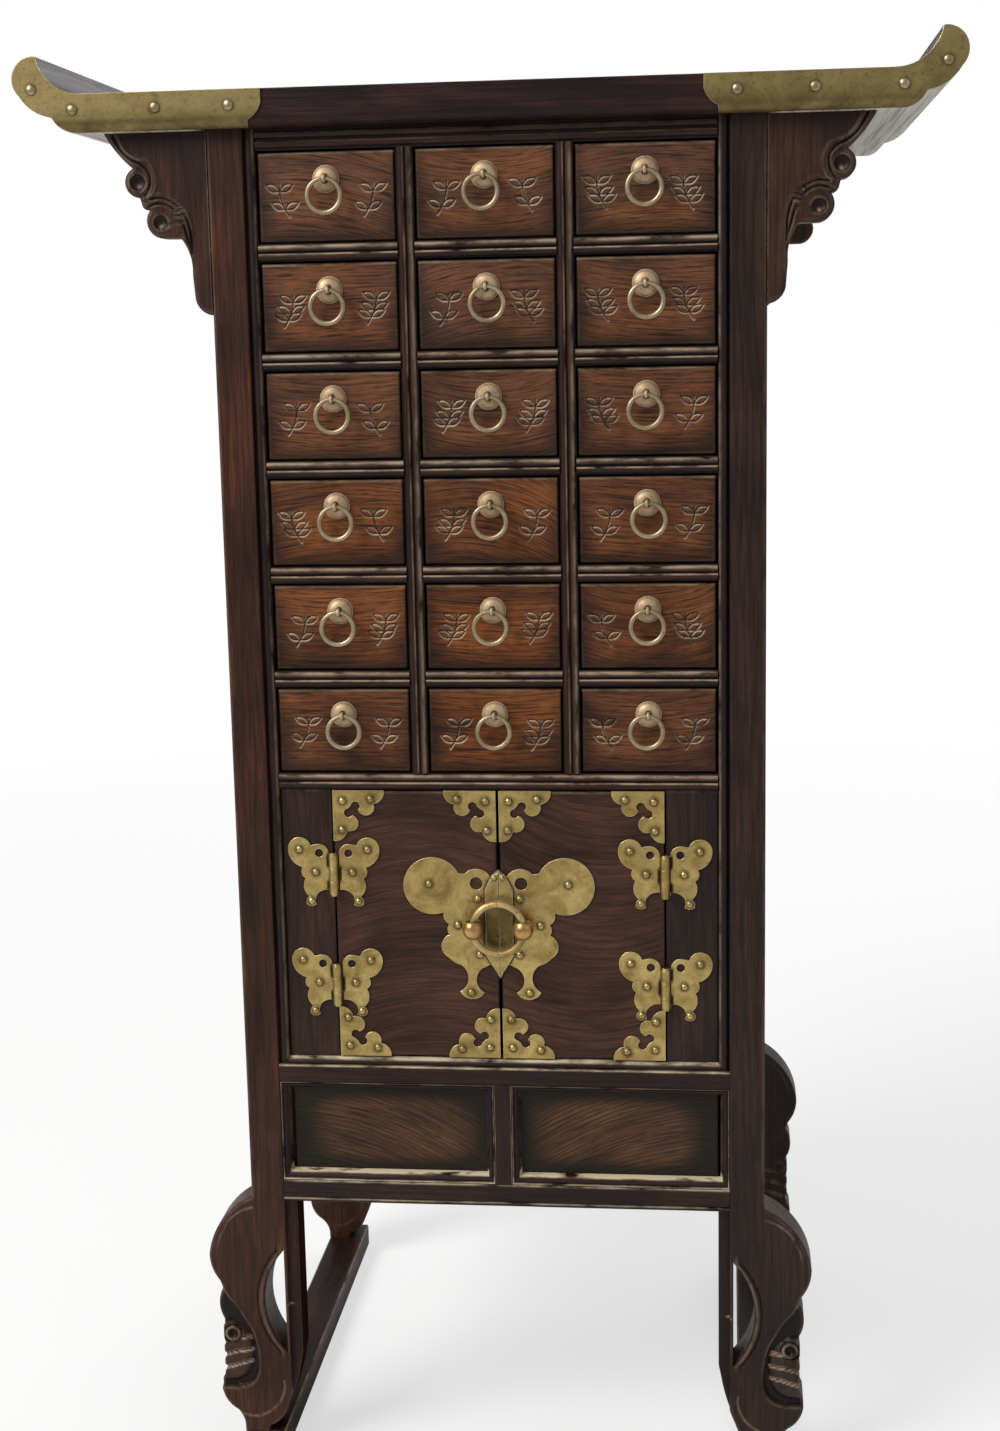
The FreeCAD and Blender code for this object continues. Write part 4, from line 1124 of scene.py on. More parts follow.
@dataclass
class FrontRails:
    """Rails, uprights and mouldings of the front: twin beads with shoulders paled by wearing and painted
    highlight, and quirks painted dark as shade.
    """

    finishes: Finishes
    depth: float = 24.0 * MM
    bead: float = 2.3 * MM
    rail_height: float = 11.5 * MM
    head_height: float = 13.6 * MM
    beads_front: float = -179.0 * MM
    door_head: float = 501.0 * MM
    drawer_floor: float = 512.5 * MM
    row_pitch: float = 71.4 * MM
    column_width: float = 93.0 * MM
    column_pitch: float = 104.5 * MM
    head_level: float = 929.4 * MM
    sill_level: float = 289.0 * MM
    sill_height: float = 18.0 * MM
    sill_quirk: float = 12.7 * MM
    base_level: float = 201.0 * MM
    base_height: float = 14.0 * MM
    muntin_half: float = 6.0 * MM
    edge_bead_width: float = 8.0 * MM
    edge_bead_level: float = 300.0 * MM
    muntin_rounding: float = 0.7 * MM
    # Highlights are painted on the beads' upper shoulders as lit from above; the head rail takes less, as it
    # lies in shade under the top.
    rail_rub_and_highlight: float = 1.35
    head_rub_and_highlight: float = 0.35
    divider_rub_and_highlight: float = 0.85
    mid_seed: float = 0.3
    head_seed: float = 7.1
    sill_seed: float = 8.3
    base_seed: float = 9.7

    def beaded(self, height: float, depth: float, rub_and_highlight: float) -> Section:
        """Section of a rail with two half-round beads: its points, and wearing with painted highlight and
        soiling with painted shade at each.

        Wearing and painted highlight make a bell over the upper shoulder of each bead, wide on the upper one;
        soiling and painted shade grow towards the quirks.

        Args:
            height: height of the rail.
            depth: depth of the rail.
            rub_and_highlight: the most wearing and painted highlight that it has.

        Returns:
            The section's points, wearing with painted highlight, and soiling with painted shade.
        """
        quirk = (height - 4 * self.bead) / 3
        swing = np.linspace(0.0, math.pi, 19)
        bead = np.stack([self.bead * (1 - np.sin(swing)), self.bead * (1 - np.cos(swing))], axis=-1)
        lower = bead + np.array([0.0, quirk])
        upper = bead + np.array([0.0, 2 * (quirk + self.bead)])
        ends = np.array([[depth, 0.0], [self.bead, 0.0]]), np.array([[self.bead, height], [depth, height]])
        section = np.concatenate([ends[0], lower, upper, ends[1]])
        narrow = 1.5 * ridge(swing - 0.76 * math.pi, 0.09 * math.pi)
        broad = ridge(swing - 0.7 * math.pi, 0.2 * math.pi)
        worn = rub_and_highlight * np.concatenate([[0.0, 0.0], narrow, broad, [0.0, 0.0]])
        return section, worn, 0.9 * np.clip(1.5 * section[:, 0] / self.bead - 0.5, 0.0, 1.0)

    def rail(
        self,
        shape: Section,
        start: Array,
        length: float,
        seed: float,
        finish: int = 0,
        mitre: Array | float = 0.0,
    ) -> Patch:
        """One rail across the front, with a grain and a tone of its own.

        Args:
            shape: its section's points, wearing with painted highlight, and soiling with painted shade.
            start: where it starts.
            length: its length.
            seed: what sets its grain and tone apart.
            finish: the number of its material.
            mitre: how far each point of the section is cut short at both ends.

        Returns:
            The patch.
        """
        grain = replace(GRAIN_X, shift=(seed, 1.7 * seed))
        axes = (ACROSS_X, ACROSS_Y, ACROSS_Z)
        return carried(*shape, start, axes, length, grain, 0.3 * math.sin(3 * seed), finish, (mitre, mitre))

    def build(self) -> None:
        """Make the rails, the dividers, the edge beads and the skirt's mouldings."""
        inside, whole = 2 * HALF_INSIDE, 2 * (HALF_INSIDE + self.edge_bead_width)
        slim = self.beaded(self.rail_height, self.depth, self.rail_rub_and_highlight)
        start = np.array([-inside / 2, self.beads_front, self.door_head])
        patches = [self.rail(slim, start, inside, self.mid_seed)]
        for row in range(1, ROWS):
            for column in range(COLUMNS):
                start = np.array([-inside / 2 + column * self.column_pitch, self.beads_front,
                                  self.drawer_floor + row * self.row_pitch - self.rail_height])
                patches.append(self.rail(slim, start, self.column_width, row + 0.37 * column))
        head = self.beaded(self.head_height, self.depth, self.head_rub_and_highlight)
        start = np.array([-inside / 2, self.beads_front, self.head_level])
        patches.append(self.rail(head, start, inside, self.head_seed))
        sill = self.sill()
        rise = (sill[0][:, 1] - self.sill_quirk) / (self.sill_height - self.sill_quirk)
        mitre = self.edge_bead_width * np.clip(rise, 0.0, 1.0)
        start = np.array([-whole / 2, FRONT, self.sill_level])
        patches.append(self.rail(sill, start, whole, self.sill_seed, 1, mitre))
        start = np.array([-whole / 2, FRONT, self.base_level])
        patches.append(self.rail(self.base(), start, whole, self.base_seed, 1))
        foot = [-self.muntin_half, FRONT, self.base_level + self.base_height]
        top = [self.muntin_half, FRONT + self.depth, self.sill_level]
        patches.append(rounded_board(foot, top, self.muntin_rounding, 2, GRAIN_Z))
        patches += [self.surround(side) for side in (-1.0, 1.0)]
        patches += [self.edge_bead(side) for side in (-1.0, 1.0)]
        finishes = [self.finishes.frame, self.finishes.moulding]
        make_piece("front_rails_dressed", patches, finishes, CASE, ["front_rails"])
        self.dividers()

    def sill(self) -> Section:
        """Section of the rail under the doors: a flat band with a lip, a quirk and a bead that slopes back.

        Returns:
            The section's points, a highlight painted on the lip and on the bead's upward slope, and shade
            painted in the quirk.
        """
        bulge = np.linspace(0.0, math.pi / 2, 10)
        bead = np.stack([2.0 + 4.3 * (1 - np.cos(bulge)), 13.6 + 4.4 * np.sin(bulge)], axis=-1)
        flat = [(24.0, 0.0), (0.5, 0.0), (0.0, 0.5), (0.0, 1.4), (0.0, 10.2), (0.0, 11.2), (0.15, 11.9),
                (0.6, 12.5), (1.2, 12.7), (3.4, 12.9), (3.4, 13.4)]
        section = np.concatenate([flat, bead, [(24.0, 18.0)]]) * MM
        up = section[:, 1]
        # The lip and the bead's slope, which face up, are painted cream as lit from above; the quirk is
        # painted dark as shade.
        worn = 1.2 * ridge(up - 12.1 * MM, 0.5 * MM) + 1.1 * smooth(up, 15.4 * MM, 17.0 * MM)
        return section, worn * (section[:, 0] < 8 * MM), ridge(up - 13.1 * MM, 0.5 * MM)

    def base(self) -> Section:
        """Section of the bottom rail: a flat band with a lip above and a small bead along its lower edge.

        Returns:
            The section's points, wearing with painted highlight on the lips, and shade painted in the quirk
            over the bead.
        """
        swing = np.linspace(0.0, math.pi, 11)
        bead = 1.6 * np.stack([1 - np.sin(swing), 1 - np.cos(swing)], axis=-1) - np.array([0.0, 2.4])
        flat = [(0.5, 1.1), (0.0, 1.6), (0.0, 2.6), (0.0, 12.2), (0.0, 13.0), (0.2, 13.6), (0.7, 14.0),
                (24.0, 14.0)]
        section = np.concatenate([[(24.0, -2.4)], bead, flat]) * MM
        up = section[:, 1]
        # Lips paled by wearing and painted highlight; the quirk over the bead painted dark as shade.
        worn = 0.6 * ridge(up - 0.2 * MM, 0.6 * MM) + 0.8 * ridge(up - 13.5 * MM, 0.5 * MM)
        return section, worn * (section[:, 0] < 2 * MM), ridge(up - 1.1 * MM, 0.4 * MM)

    def surround(self, side: float) -> Patch:
        """The mitred moulding round a skirt panel.

        Its section, a lip, a quirk, a quarter ellipse that curves back to the panel and a flat back, is
        carried round a rectangle that draws in with it. The lower run is painted pale where it faces up, as
        lit from above; the quirk and the other runs are painted darker, as in shade.

        Args:
            side: -1 for the left panel and 1 for the right.

        Returns:
            The patch.
        """
        turn = np.linspace(0.0, math.pi / 2, 12)
        bow_in, bow_back = 2.0 + 4.3 * np.sin(turn), 1.6 + 7.3 * (1 - np.cos(turn))
        drawn = np.concatenate([[0.0, 0.3, 0.9, 1.2, 1.4, 1.8], bow_in, [6.4, 0.0, 0.0]]) * MM
        fall = np.concatenate([[0.9, 0.5, 0.4, 0.7, 2.2, 2.2], bow_back, [9.2, 9.2, 0.9]]) * MM
        left, right = self.muntin_half + drawn, HALF_INSIDE + self.edge_bead_width - drawn
        low, high = self.base_level + self.base_height + drawn, self.sill_level - drawn
        rectangle = ((left, low), (right, low), (right, high), (left, high))
        corners = np.stack([np.stack(pair, -1) for pair in rectangle], axis=1)
        share = np.linspace(0.0, 1.0, 13)[:-1, None]
        following = np.roll(corners, -1, axis=1)
        ring = corners[:, :, None] * (1 - share) + following[:, :, None] * share
        ring = ring.reshape(len(drawn), -1, 2)
        depth = np.broadcast_to((FRONT + fall)[:, None], ring.shape[:2])
        points = np.stack([side * ring[..., 0], depth, ring[..., 1]], axis=-1)
        lower = np.arange(ring.shape[1]) <= len(share)
        lip = 1.2 * ridge(drawn - 0.8 * MM, 0.4 * MM)[:, None]
        curve = smooth(drawn, 4.5 * MM, 5.8 * MM)[:, None] * (fall < 9.1 * MM)[:, None]
        # Painted light on the lower run, which faces up; painted shade on the other runs and in the quirk.
        worn = lip * np.where(lower, 1.0, 0.28) + curve * np.where(lower, 2.8, 0.1)
        dark = ridge(drawn - 1.6 * MM, 0.4 * MM)[:, None] + np.where(lower, 0.0, 0.55)
        return Patch(points, GRAIN_X, worn, np.clip(dark, 0, 1), finish=1, closed=True)

    def edge_bead(self, side: float) -> Patch:
        """The upright bead let into a post's inner edge: an arc on a flat, mitred to the sill's bead.

        Args:
            side: -1 for the left post and 1 for the right.

        Returns:
            The patch.
        """
        swing = np.linspace(-1.0, 1.0, 21)
        section = np.stack([4.5 - 3.6 * np.sqrt(1 - (0.98 * swing) ** 2), 3.7 + 3.4 * swing], axis=-1) * MM
        section[[0, -1], 0] = 4.5 * MM
        worn = 0.6 * ridge(section[:, 1] - 1.3 * MM, 0.7 * MM)
        dark = 0.35 + 0.6 * smooth(section[:, 1], 5.0 * MM, 6.6 * MM)
        start = np.array([side * HALF_INSIDE, FRONT, self.edge_bead_level])
        rise = self.sill_height - self.sill_quirk
        sill_top = self.sill_level + self.sill_height - self.edge_bead_level
        foot = sill_top - rise * section[:, 1] / self.edge_bead_width
        return carried(section, worn, dark, start, (ACROSS_Z, ACROSS_Y, side * ACROSS_X),
                       CASE_TOP - self.edge_bead_level, GRAIN_Z, -0.3, mitre=(foot, 0.0))

    def dividers(self) -> None:
        """The two uprights between the columns, with the rails' beads on their front edges."""
        low, high = (np.array(corner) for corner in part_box("drawer_dividers"))
        shape = self.beaded(self.rail_height, high[1] - low[1], self.divider_rub_and_highlight)
        axes = (ACROSS_Z, ACROSS_Y, ACROSS_X)
        patches = []
        for place in (low[0], high[0] - self.rail_height):
            start = np.array([place, low[1], low[2]])
            grain = replace(GRAIN_Z, shift=(4.0 * place, 3.0))
            patches.append(carried(*shape, start, axes, high[2] - low[2], grain, 0.4))
        make_piece("dividers_dressed", patches, [self.finishes.frame], CASE,
                   ["drawer_dividers"])


@dataclass
class CarvedPosts:
    """Four posts that run down into carved legs. Heights start at the floor, widths at the outer face."""

    finishes: Finishes
    depth: float = 30.0 * MM
    foot_level: float = 19.0 * MM
    bar_edge: float = -21.5 * MM
    inner_face: float = -32.0 * MM
    rebate_edge: float = -24.0 * MM
    rebate_depth: float = 4.5 * MM
    skirt_depth: float = 12.2 * MM
    skirt_levels: tuple[float, float] = (215.0 * MM, 289.0 * MM)
    opening_low: float = 82.0 * MM
    opening_high: float = 160.0 * MM
    opening_bulge: float = 15.0 * MM
    rounding: float = 2.0 * MM
    runner_width: float = 30.0 * MM
    sunk_depth: float = 3.4 * MM
    scroll_eye: tuple[float, float] = (18.4 * MM, 94.6 * MM)
    crack: tuple[float, float] = (-24.8 * MM, 118.0 * MM)
    # The left posts are toned lighter and the right darker: painted light and shade from a lamp on the left.
    left_painted_light: float = 0.85
    right_painted_shade: float = -0.45
    leg_top: float = 206.0 * MM
    leg_rows: int = 184
    leg_columns: int = 78
    post_rows: int = 40
    nick_width: float = 2.0 * MM
    nick_depth: float = 1.7 * MM
    runner_rounding: float = 1.6 * MM
    rebate_rounding: float = 0.9 * MM
    carving_top: float = 210.0 * MM
    carving_fade: float = 6.0 * MM
    knee_levels: tuple[float, float] = (158.0 * MM, 176.0 * MM)
    line_depth: float = 0.7 * MM
    line_width: float = 0.6 * MM
    bead_fade: tuple[float, float] = (10.0 * MM, 8.0 * MM)
    bead_inset: float = 2.4 * MM
    bead_width: float = 1.7 * MM
    bead_height: float = 0.8 * MM
    groove_inset: float = 5.2 * MM
    groove_width: float = 0.7 * MM
    groove_depth: float = 0.9 * MM
    lobe_height: float = 2.7 * MM
    ring_height: float = 2.9 * MM
    ring_hollow: float = 2.6 * MM
    ring_radii: tuple[float, float] = (5.6 * MM, 7.0 * MM)
    hollow_radii: tuple[float, float] = (2.0 * MM, 3.8 * MM)

    outer_steps = [
        (0.0, 943.0), (0.0, 201.0), ((23.5, 181.5), (33.3, 156.0)), ((32.0, 146.5), (26.3, 135.6)),
        (24.2, 130.0), ((27.9, 120.5), (25.4, 105.0)), (25.6, 62.0), (27.6, 58.5),
        ((26.4, 45.0), (18.8, 35.8)), ((14.0, 30.2), (12.0, 23.0)), (12.0, 19.0),
    ]
    inner_steps = [
        (-32.0, 943.0), (-32.0, 80.0), (-30.4, 72.0), ((-26.0, 53.0), (-20.1, 37.0)),
        ((-15.0, 28.0), (-6.6, 22.5)), (-6.6, 19.0),
    ]
    knee_line = [(0.4, 193.1), (7.8, 190.6), (14.5, 186.2), (19.4, 181.1), (22.6, 174.3), (25.3, 168.6),
                 (26.7, 161.8)]
    sweep_line = [(23.7, 128.4), (19.6, 122.3), (14.3, 116.2), (10.1, 108.9), (5.7, 101.5), (2.6, 94.1),
                  (0.9, 86.6), (-0.3, 77.9), (-0.1, 67.8), (2.7, 59.5), (8.8, 54.4), (16.7, 52.6),
                  (27.0, 52.2)]
    lobe_line = [(16.5, 104.5), (7.5, 97.0), (4.0, 90.4), (3.0, 82.9), (3.2, 76.0), (4.8, 68.4), (9.0, 61.8),
                 (16.5, 57.8), (27.0, 56.4)]
    lobe_cuts = [
        [(3.0, 91.0), (7.0, 92.2), (12.4, 91.2)],
        [(4.7, 82.5), (15.5, 80.8), (22.7, 78.6), (28.0, 76.8)],
        [(5.1, 73.3), (13.5, 71.5), (20.0, 69.2), (28.0, 67.0)],
    ]
    foot_line = [(18.6, 35.4), (13.4, 32.4), (5.0, 30.6), (-3.4, 32.5), (-10.8, 37.8), (-15.8, 44.4),
                 (-18.6, 53.3), (-18.2, 58.4)]
    edge_nicks = (103.0, 87.5, 77.2, 67.4)

    def rows(self) -> Array:
        """Heights of the grid's rows: close over the leg, wide up the post, doubled at the rebate's steps.

        Returns:
            The heights, in order.
        """
        leg = np.linspace(self.foot_level, self.leg_top, self.leg_rows)
        post = np.linspace(self.leg_top, CASE_TOP, self.post_rows)
        steps = np.add.outer(np.array(self.skirt_levels), np.array([-0.05, 0.05]) * MM).ravel()
        return np.unique(np.concatenate([leg, post, steps, [self.opening_low, self.opening_high]]))

    def open_rows(self, up: Array) -> Array:
        """Which heights lie across the crescent opening."""
        return (up >= self.opening_low) & (up <= self.opening_high)

    def opening_edge(self, up: Array) -> Array:
        """The curved side of the crescent opening: a circle's arc, and the bar's own edge beyond it.

        Args:
            up: heights.

        Returns:
            The width of that side at each height.
        """
        half = (self.opening_high - self.opening_low) / 2
        radius = (half ** 2 + self.opening_bulge ** 2) / (2 * self.opening_bulge)
        rise = np.clip(up - (self.opening_low + half), -half, half)
        return self.bar_edge + np.sqrt(radius ** 2 - rise ** 2) - (radius - self.opening_bulge)

    def lobes(self, flat: Array) -> tuple[Array, Array, Array]:
        """The sunk carving outside the leg's S-shaped sweep.

        Past the sweep the face drops to a floor; past the lobes' own line it swells up again, parted by V
        cuts. A ring with a hollow sits on top of them, and a hollow wedge is left over it.

        Args:
            flat: (width, height) of each point.

        Returns:
            Height of the relief, painted glints and wearing with painted highlight, and painted shade over
            the sunk ground, at each point.
        """
        out, up = flat[..., 0], flat[..., 1]
        sweep, lobe = flowing(self.sweep_line), flowing(self.lobe_line)
        past_sweep = out > np.interp(up, sweep[::-1, 1], sweep[::-1, 0])
        inside = past_sweep * smooth(distance_to(flat, sweep), 0.0, 1.3 * MM)
        inside = inside * (up > sweep[:, 1].min()) * (up < sweep[:, 1].max())
        past_lobe = (out > np.interp(up, lobe[::-1, 1], lobe[::-1, 0])) * (up > lobe[:, 1].min())
        past_lobe = past_lobe * (up < lobe[:, 1].max())
        swell = past_lobe * np.sqrt(smooth(distance_to(flat, lobe), 0.0, 4.0 * MM))
        cut = np.min([distance_to(flat, flowing(line)) for line in self.lobe_cuts], axis=0)
        swell = swell * np.sqrt(smooth(cut, 0.0, 3.2 * MM))
        eye = np.hypot(out - self.scroll_eye[0], up - self.scroll_eye[1])
        boss = 1.0 - smooth(eye, *self.ring_radii)
        hollow = self.ring_hollow * (1.0 - smooth(eye, *self.hollow_radii))
        ring = boss * (self.ring_height - hollow)
        on_ring = boss > 0.02
        relief = inside * (np.where(on_ring, ring, self.lobe_height * swell) - self.sunk_depth)
        # Glints painted under the cuts and on the swells, the ring's rim paled by wearing and painted
        # highlight, and shade painted over the sunk ground.
        glint = 2.8 * ridge(cut - 0.9 * MM, 0.5 * MM) * past_lobe + 0.12 * swell
        worn = inside * (glint * (boss < 0.5) + 1.6 * ridge(eye - 4.9 * MM, 0.7 * MM))
        raised = np.where(on_ring, ring / self.ring_height, swell)
        dark = inside * np.clip(1.0 - 0.65 * raised, 0.0, 1.0)
        return relief, worn, dark

    def carving(self, flat: Array) -> tuple[Array, Array, Array]:
        """Relief of the leg's face, with its painted highlights, wearing and painted shade.

        The lobes come first; lines follow the knee and the foot as bells across them, and a bead with a
        groove beside it follows the opening and the sweep. Highlights are painted beside the lines and on the
        bead, and the groove is painted dark as shade.

        Args:
            flat: (width, height) of each point.

        Returns:
            Height of the relief, painted highlight with wearing, and painted shade at each point.
        """
        out, up = flat[..., 0], flat[..., 1]
        relief, worn, dark = self.lobes(flat)
        knee, sweep, foot = (distance_to(flat, flowing(line))
                             for line in (self.knee_line, self.sweep_line, self.foot_line))
        gap = out - self.opening_edge(up)
        near = smooth(up, self.opening_low - self.bead_fade[0], self.opening_low) * (out > self.bar_edge)
        near = near * smooth(self.opening_high + self.bead_fade[1] - up, 0.0, self.bead_fade[1])
        rim = ridge(gap - self.groove_inset, self.groove_width)
        fade = smooth(up, *self.knee_levels)
        bead = self.bead_height * ridge(gap - self.bead_inset, self.bead_width)
        relief = relief + near * (bead - self.groove_depth * rim)
        cuts = fade * ridge(knee, self.line_width) + ridge(foot, self.line_width)
        relief = relief - self.line_depth * cuts
        raised = 1.0 - np.clip(dark * 4.0, 0.0, 1.0)
        relief = relief + 0.6 * MM * raised * ridge(sweep - 1.8 * MM, 1.3 * MM)
        worn = worn + 0.95 * fade * ridge(knee - 0.3 * MM, 0.5 * MM) + 0.9 * ridge(foot - 0.3 * MM, 0.5 * MM)
        worn = worn + 0.5 * raised * ridge(sweep - 0.8 * MM, 0.6 * MM)
        worn = worn + 0.45 * near * ridge(gap - 2.2 * MM, 1.1 * MM)
        return relief, worn, np.clip(dark + 0.7 * near * rim, 0, 1)

    def cutback(self, out: Array, level: Array) -> Array:
        """How far the inner corner is cut back: for the edge bead and, deeper, for the skirt's moulding.

        Args:
            out: width of each point.
            level: height of each point.

        Returns:
            The depth of the cut at each point.
        """
        low, high = self.skirt_levels
        depth = np.where((level > low) & (level < high), self.skirt_depth, self.rebate_depth)
        return depth * (out < self.rebate_edge)

    def strip(
        self, first: Array, last: Array, shares: Array, up: Array, rebated: bool
    ) -> tuple[Patch, Patch]:
        """Front and back of one upright strip of a post, between two edges that vary with height.

        Args:
            first: the strip's inner edge at each row.
            last: its outer edge at each row.
            shares: places of its columns, from 0 at the inner edge to 1 at the outer.
            up: heights of the rows.
            rebated: whether the inner corner is cut back.

        Returns:
            The two patches.
        """
        out = first[:, None] + (last - first)[:, None] * shares
        level = np.broadcast_to(up[:, None], out.shape)
        flat = np.stack([out, level], axis=-1)
        opening = np.stack([self.opening_edge(up), up], axis=-1)[self.open_rows(up)]
        opening = np.concatenate([opening, opening[:1] * [0, 1] + [[self.bar_edge, 0.0]]])
        lines = (traced(self.outer_steps), traced(self.inner_steps), opening)
        edge = np.min([distance_to(flat, line) for line in lines], axis=0)
        relief, worn, dark = self.carving(flat)
        leg = smooth(self.carving_top - level, 0.0, self.carving_fade)
        cutback = self.cutback(out, level) * rebated
        rounded = round_over(edge, self.rounding)
        lip = round_over(np.abs(out - self.rebate_edge), self.rebate_rounding)
        lip = lip * (out >= self.rebate_edge) * rebated
        front = FRONT + np.maximum(rounded, lip) - leg * relief + cutback
        back = FRONT + self.depth - rounded
        crack = ridge(out - self.crack[0], 2.0 * MM) * ridge(level - self.crack[1], 0.6 * MM)
        # Wearing and painted highlight near the edges, the crack painted white, and shade painted at the
        # edges and in the cut-back corner.
        worn = (leg * worn + 0.3 * ridge(edge - 1.2 * MM, 0.8 * MM)) * (cutback <= 0) + 3.0 * crack
        dark = np.clip(leg * dark + 0.35 * ridge(edge, 0.7 * MM) + 0.6 * (cutback > 0), 0, 1) * (1.0 - crack)
        place = POST_OUTSIDE + out
        return (Patch(np.stack([place, front, level], axis=-1), GRAIN_Z, worn, dark),
                Patch(np.stack([place, back, level], axis=-1), GRAIN_Z, 0.3 * worn, 0.2))

    @staticmethod
    def wall(front: Array, back: Array, dirt_and_shade: float, wear_and_light: float = 0.0, finish: int = 0) -> Patch:
        """The straight surface between an edge of the front and the same edge of the back.

        Args:
            front: points along the front's edge.
            back: points along the back's edge.
            dirt_and_shade: darkness all over it, as soiling and painted shade.
            wear_and_light: paleness all over it, as wearing and painted light.
            finish: the number of its material.

        Returns:
            The patch.
        """
        share = np.linspace(0.0, 1.0, 5)[None, :, None]
        points = front[:, None, :] * (1 - share) + back[:, None, :] * share
        return Patch(points, GRAIN_Z, wear_and_light, dirt_and_shade, finish=finish)

    def post(self, rebated: bool) -> list[Patch]:
        """The right front post: two strips, either side of the opening, and the walls that close them.

        Args:
            rebated: whether its inner corner is cut back.

        Returns:
            The patches.
        """
        up = self.rows()
        outer, inner = traced(self.outer_steps)[::-1], traced(self.inner_steps)[::-1]
        nicks = np.sum([ridge(up - nick * MM, self.nick_width) for nick in self.edge_nicks], axis=0)
        last = np.interp(up, outer[:, 1], outer[:, 0]) - self.nick_depth * nicks
        first = np.interp(up, inner[:, 1], inner[:, 0])
        bar = np.maximum(self.bar_edge, first)
        gap = self.open_rows(up)
        split = np.maximum(np.where(gap, self.opening_edge(up), bar), bar)
        step = (self.rebate_edge - self.inner_face) / (self.bar_edge - self.inner_face)
        extra = [0.03, 0.07, 0.12, step - 0.006, step + 0.006, step + 0.05, 0.96]
        narrow = np.unique(np.concatenate([np.linspace(0, 1, 14), extra]))
        wide = 0.5 - 0.5 * np.cos(np.linspace(0.0, math.pi, self.leg_columns))
        bar_front, bar_back = self.strip(first, bar, narrow, up, rebated)
        leg_front, leg_back = self.strip(split, last, wide, up, rebated)
        # The bar's inner wall is painted dark as shade, and the leg's side of the opening is painted pale as
        # lit.
        walls = [
            self.wall(bar_front.points[:, 0], bar_back.points[:, 0], 0.6, finish=1),
            self.wall(leg_front.points[:, -1], leg_back.points[:, -1], 0.1, 0.3),
            self.wall(bar_front.points[gap, -1], bar_back.points[gap, -1], 0.3),
            self.wall(leg_front.points[gap, 0], leg_back.points[gap, 0], 0.0, 0.6),
        ]
        for front, back in ((bar_front, bar_back), (leg_front, leg_back)):
            walls += [self.wall(front.points[row], back.points[row], 0.2) for row in (0, -1)]
        return [bar_front, bar_back, leg_front, leg_back] + walls

    def build(self) -> None:
        """Make the front and the rear pair, each the mirror image of one post, and the runners below."""
        mirror = np.array([-1.0, 1.0, 1.0])
        turned_back = np.array([1.0, -1.0, 1.0])
        across = np.array([0.0, 2 * MIDDLE, 0.0])
        finishes = [self.finishes.posts, self.finishes.post_sides]
        for name, rebated in (("front_posts", True), ("rear_posts", False)):
            right = self.post(rebated)
            if not rebated:
                right = [patch.moved(turned_back, across) for patch in right]
            still, kept = np.zeros(3), np.ones(3)
            # Right posts toned darker and left lighter, as painted shade and light.
            pair = [patch.moved(kept, still, self.right_painted_shade) for patch in right]
            pair += [patch.moved(mirror, still, self.left_painted_light) for patch in right]
            make_piece(f"{name}_carved", pair, finishes, CASE, [name])
        low, high = (np.array(corner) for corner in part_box("foot_runners"))
        runners = []
        for start in (low[0], high[0] - self.runner_width):
            ends = [start, low[1], low[2]], [start + self.runner_width, high[1], high[2]]
            runners.append(rounded_board(*ends, self.runner_rounding, 1, GRAIN_Y))
        make_piece("foot_runners_dressed", runners, [self.finishes.frame], CASE,
                   ["foot_runners"])


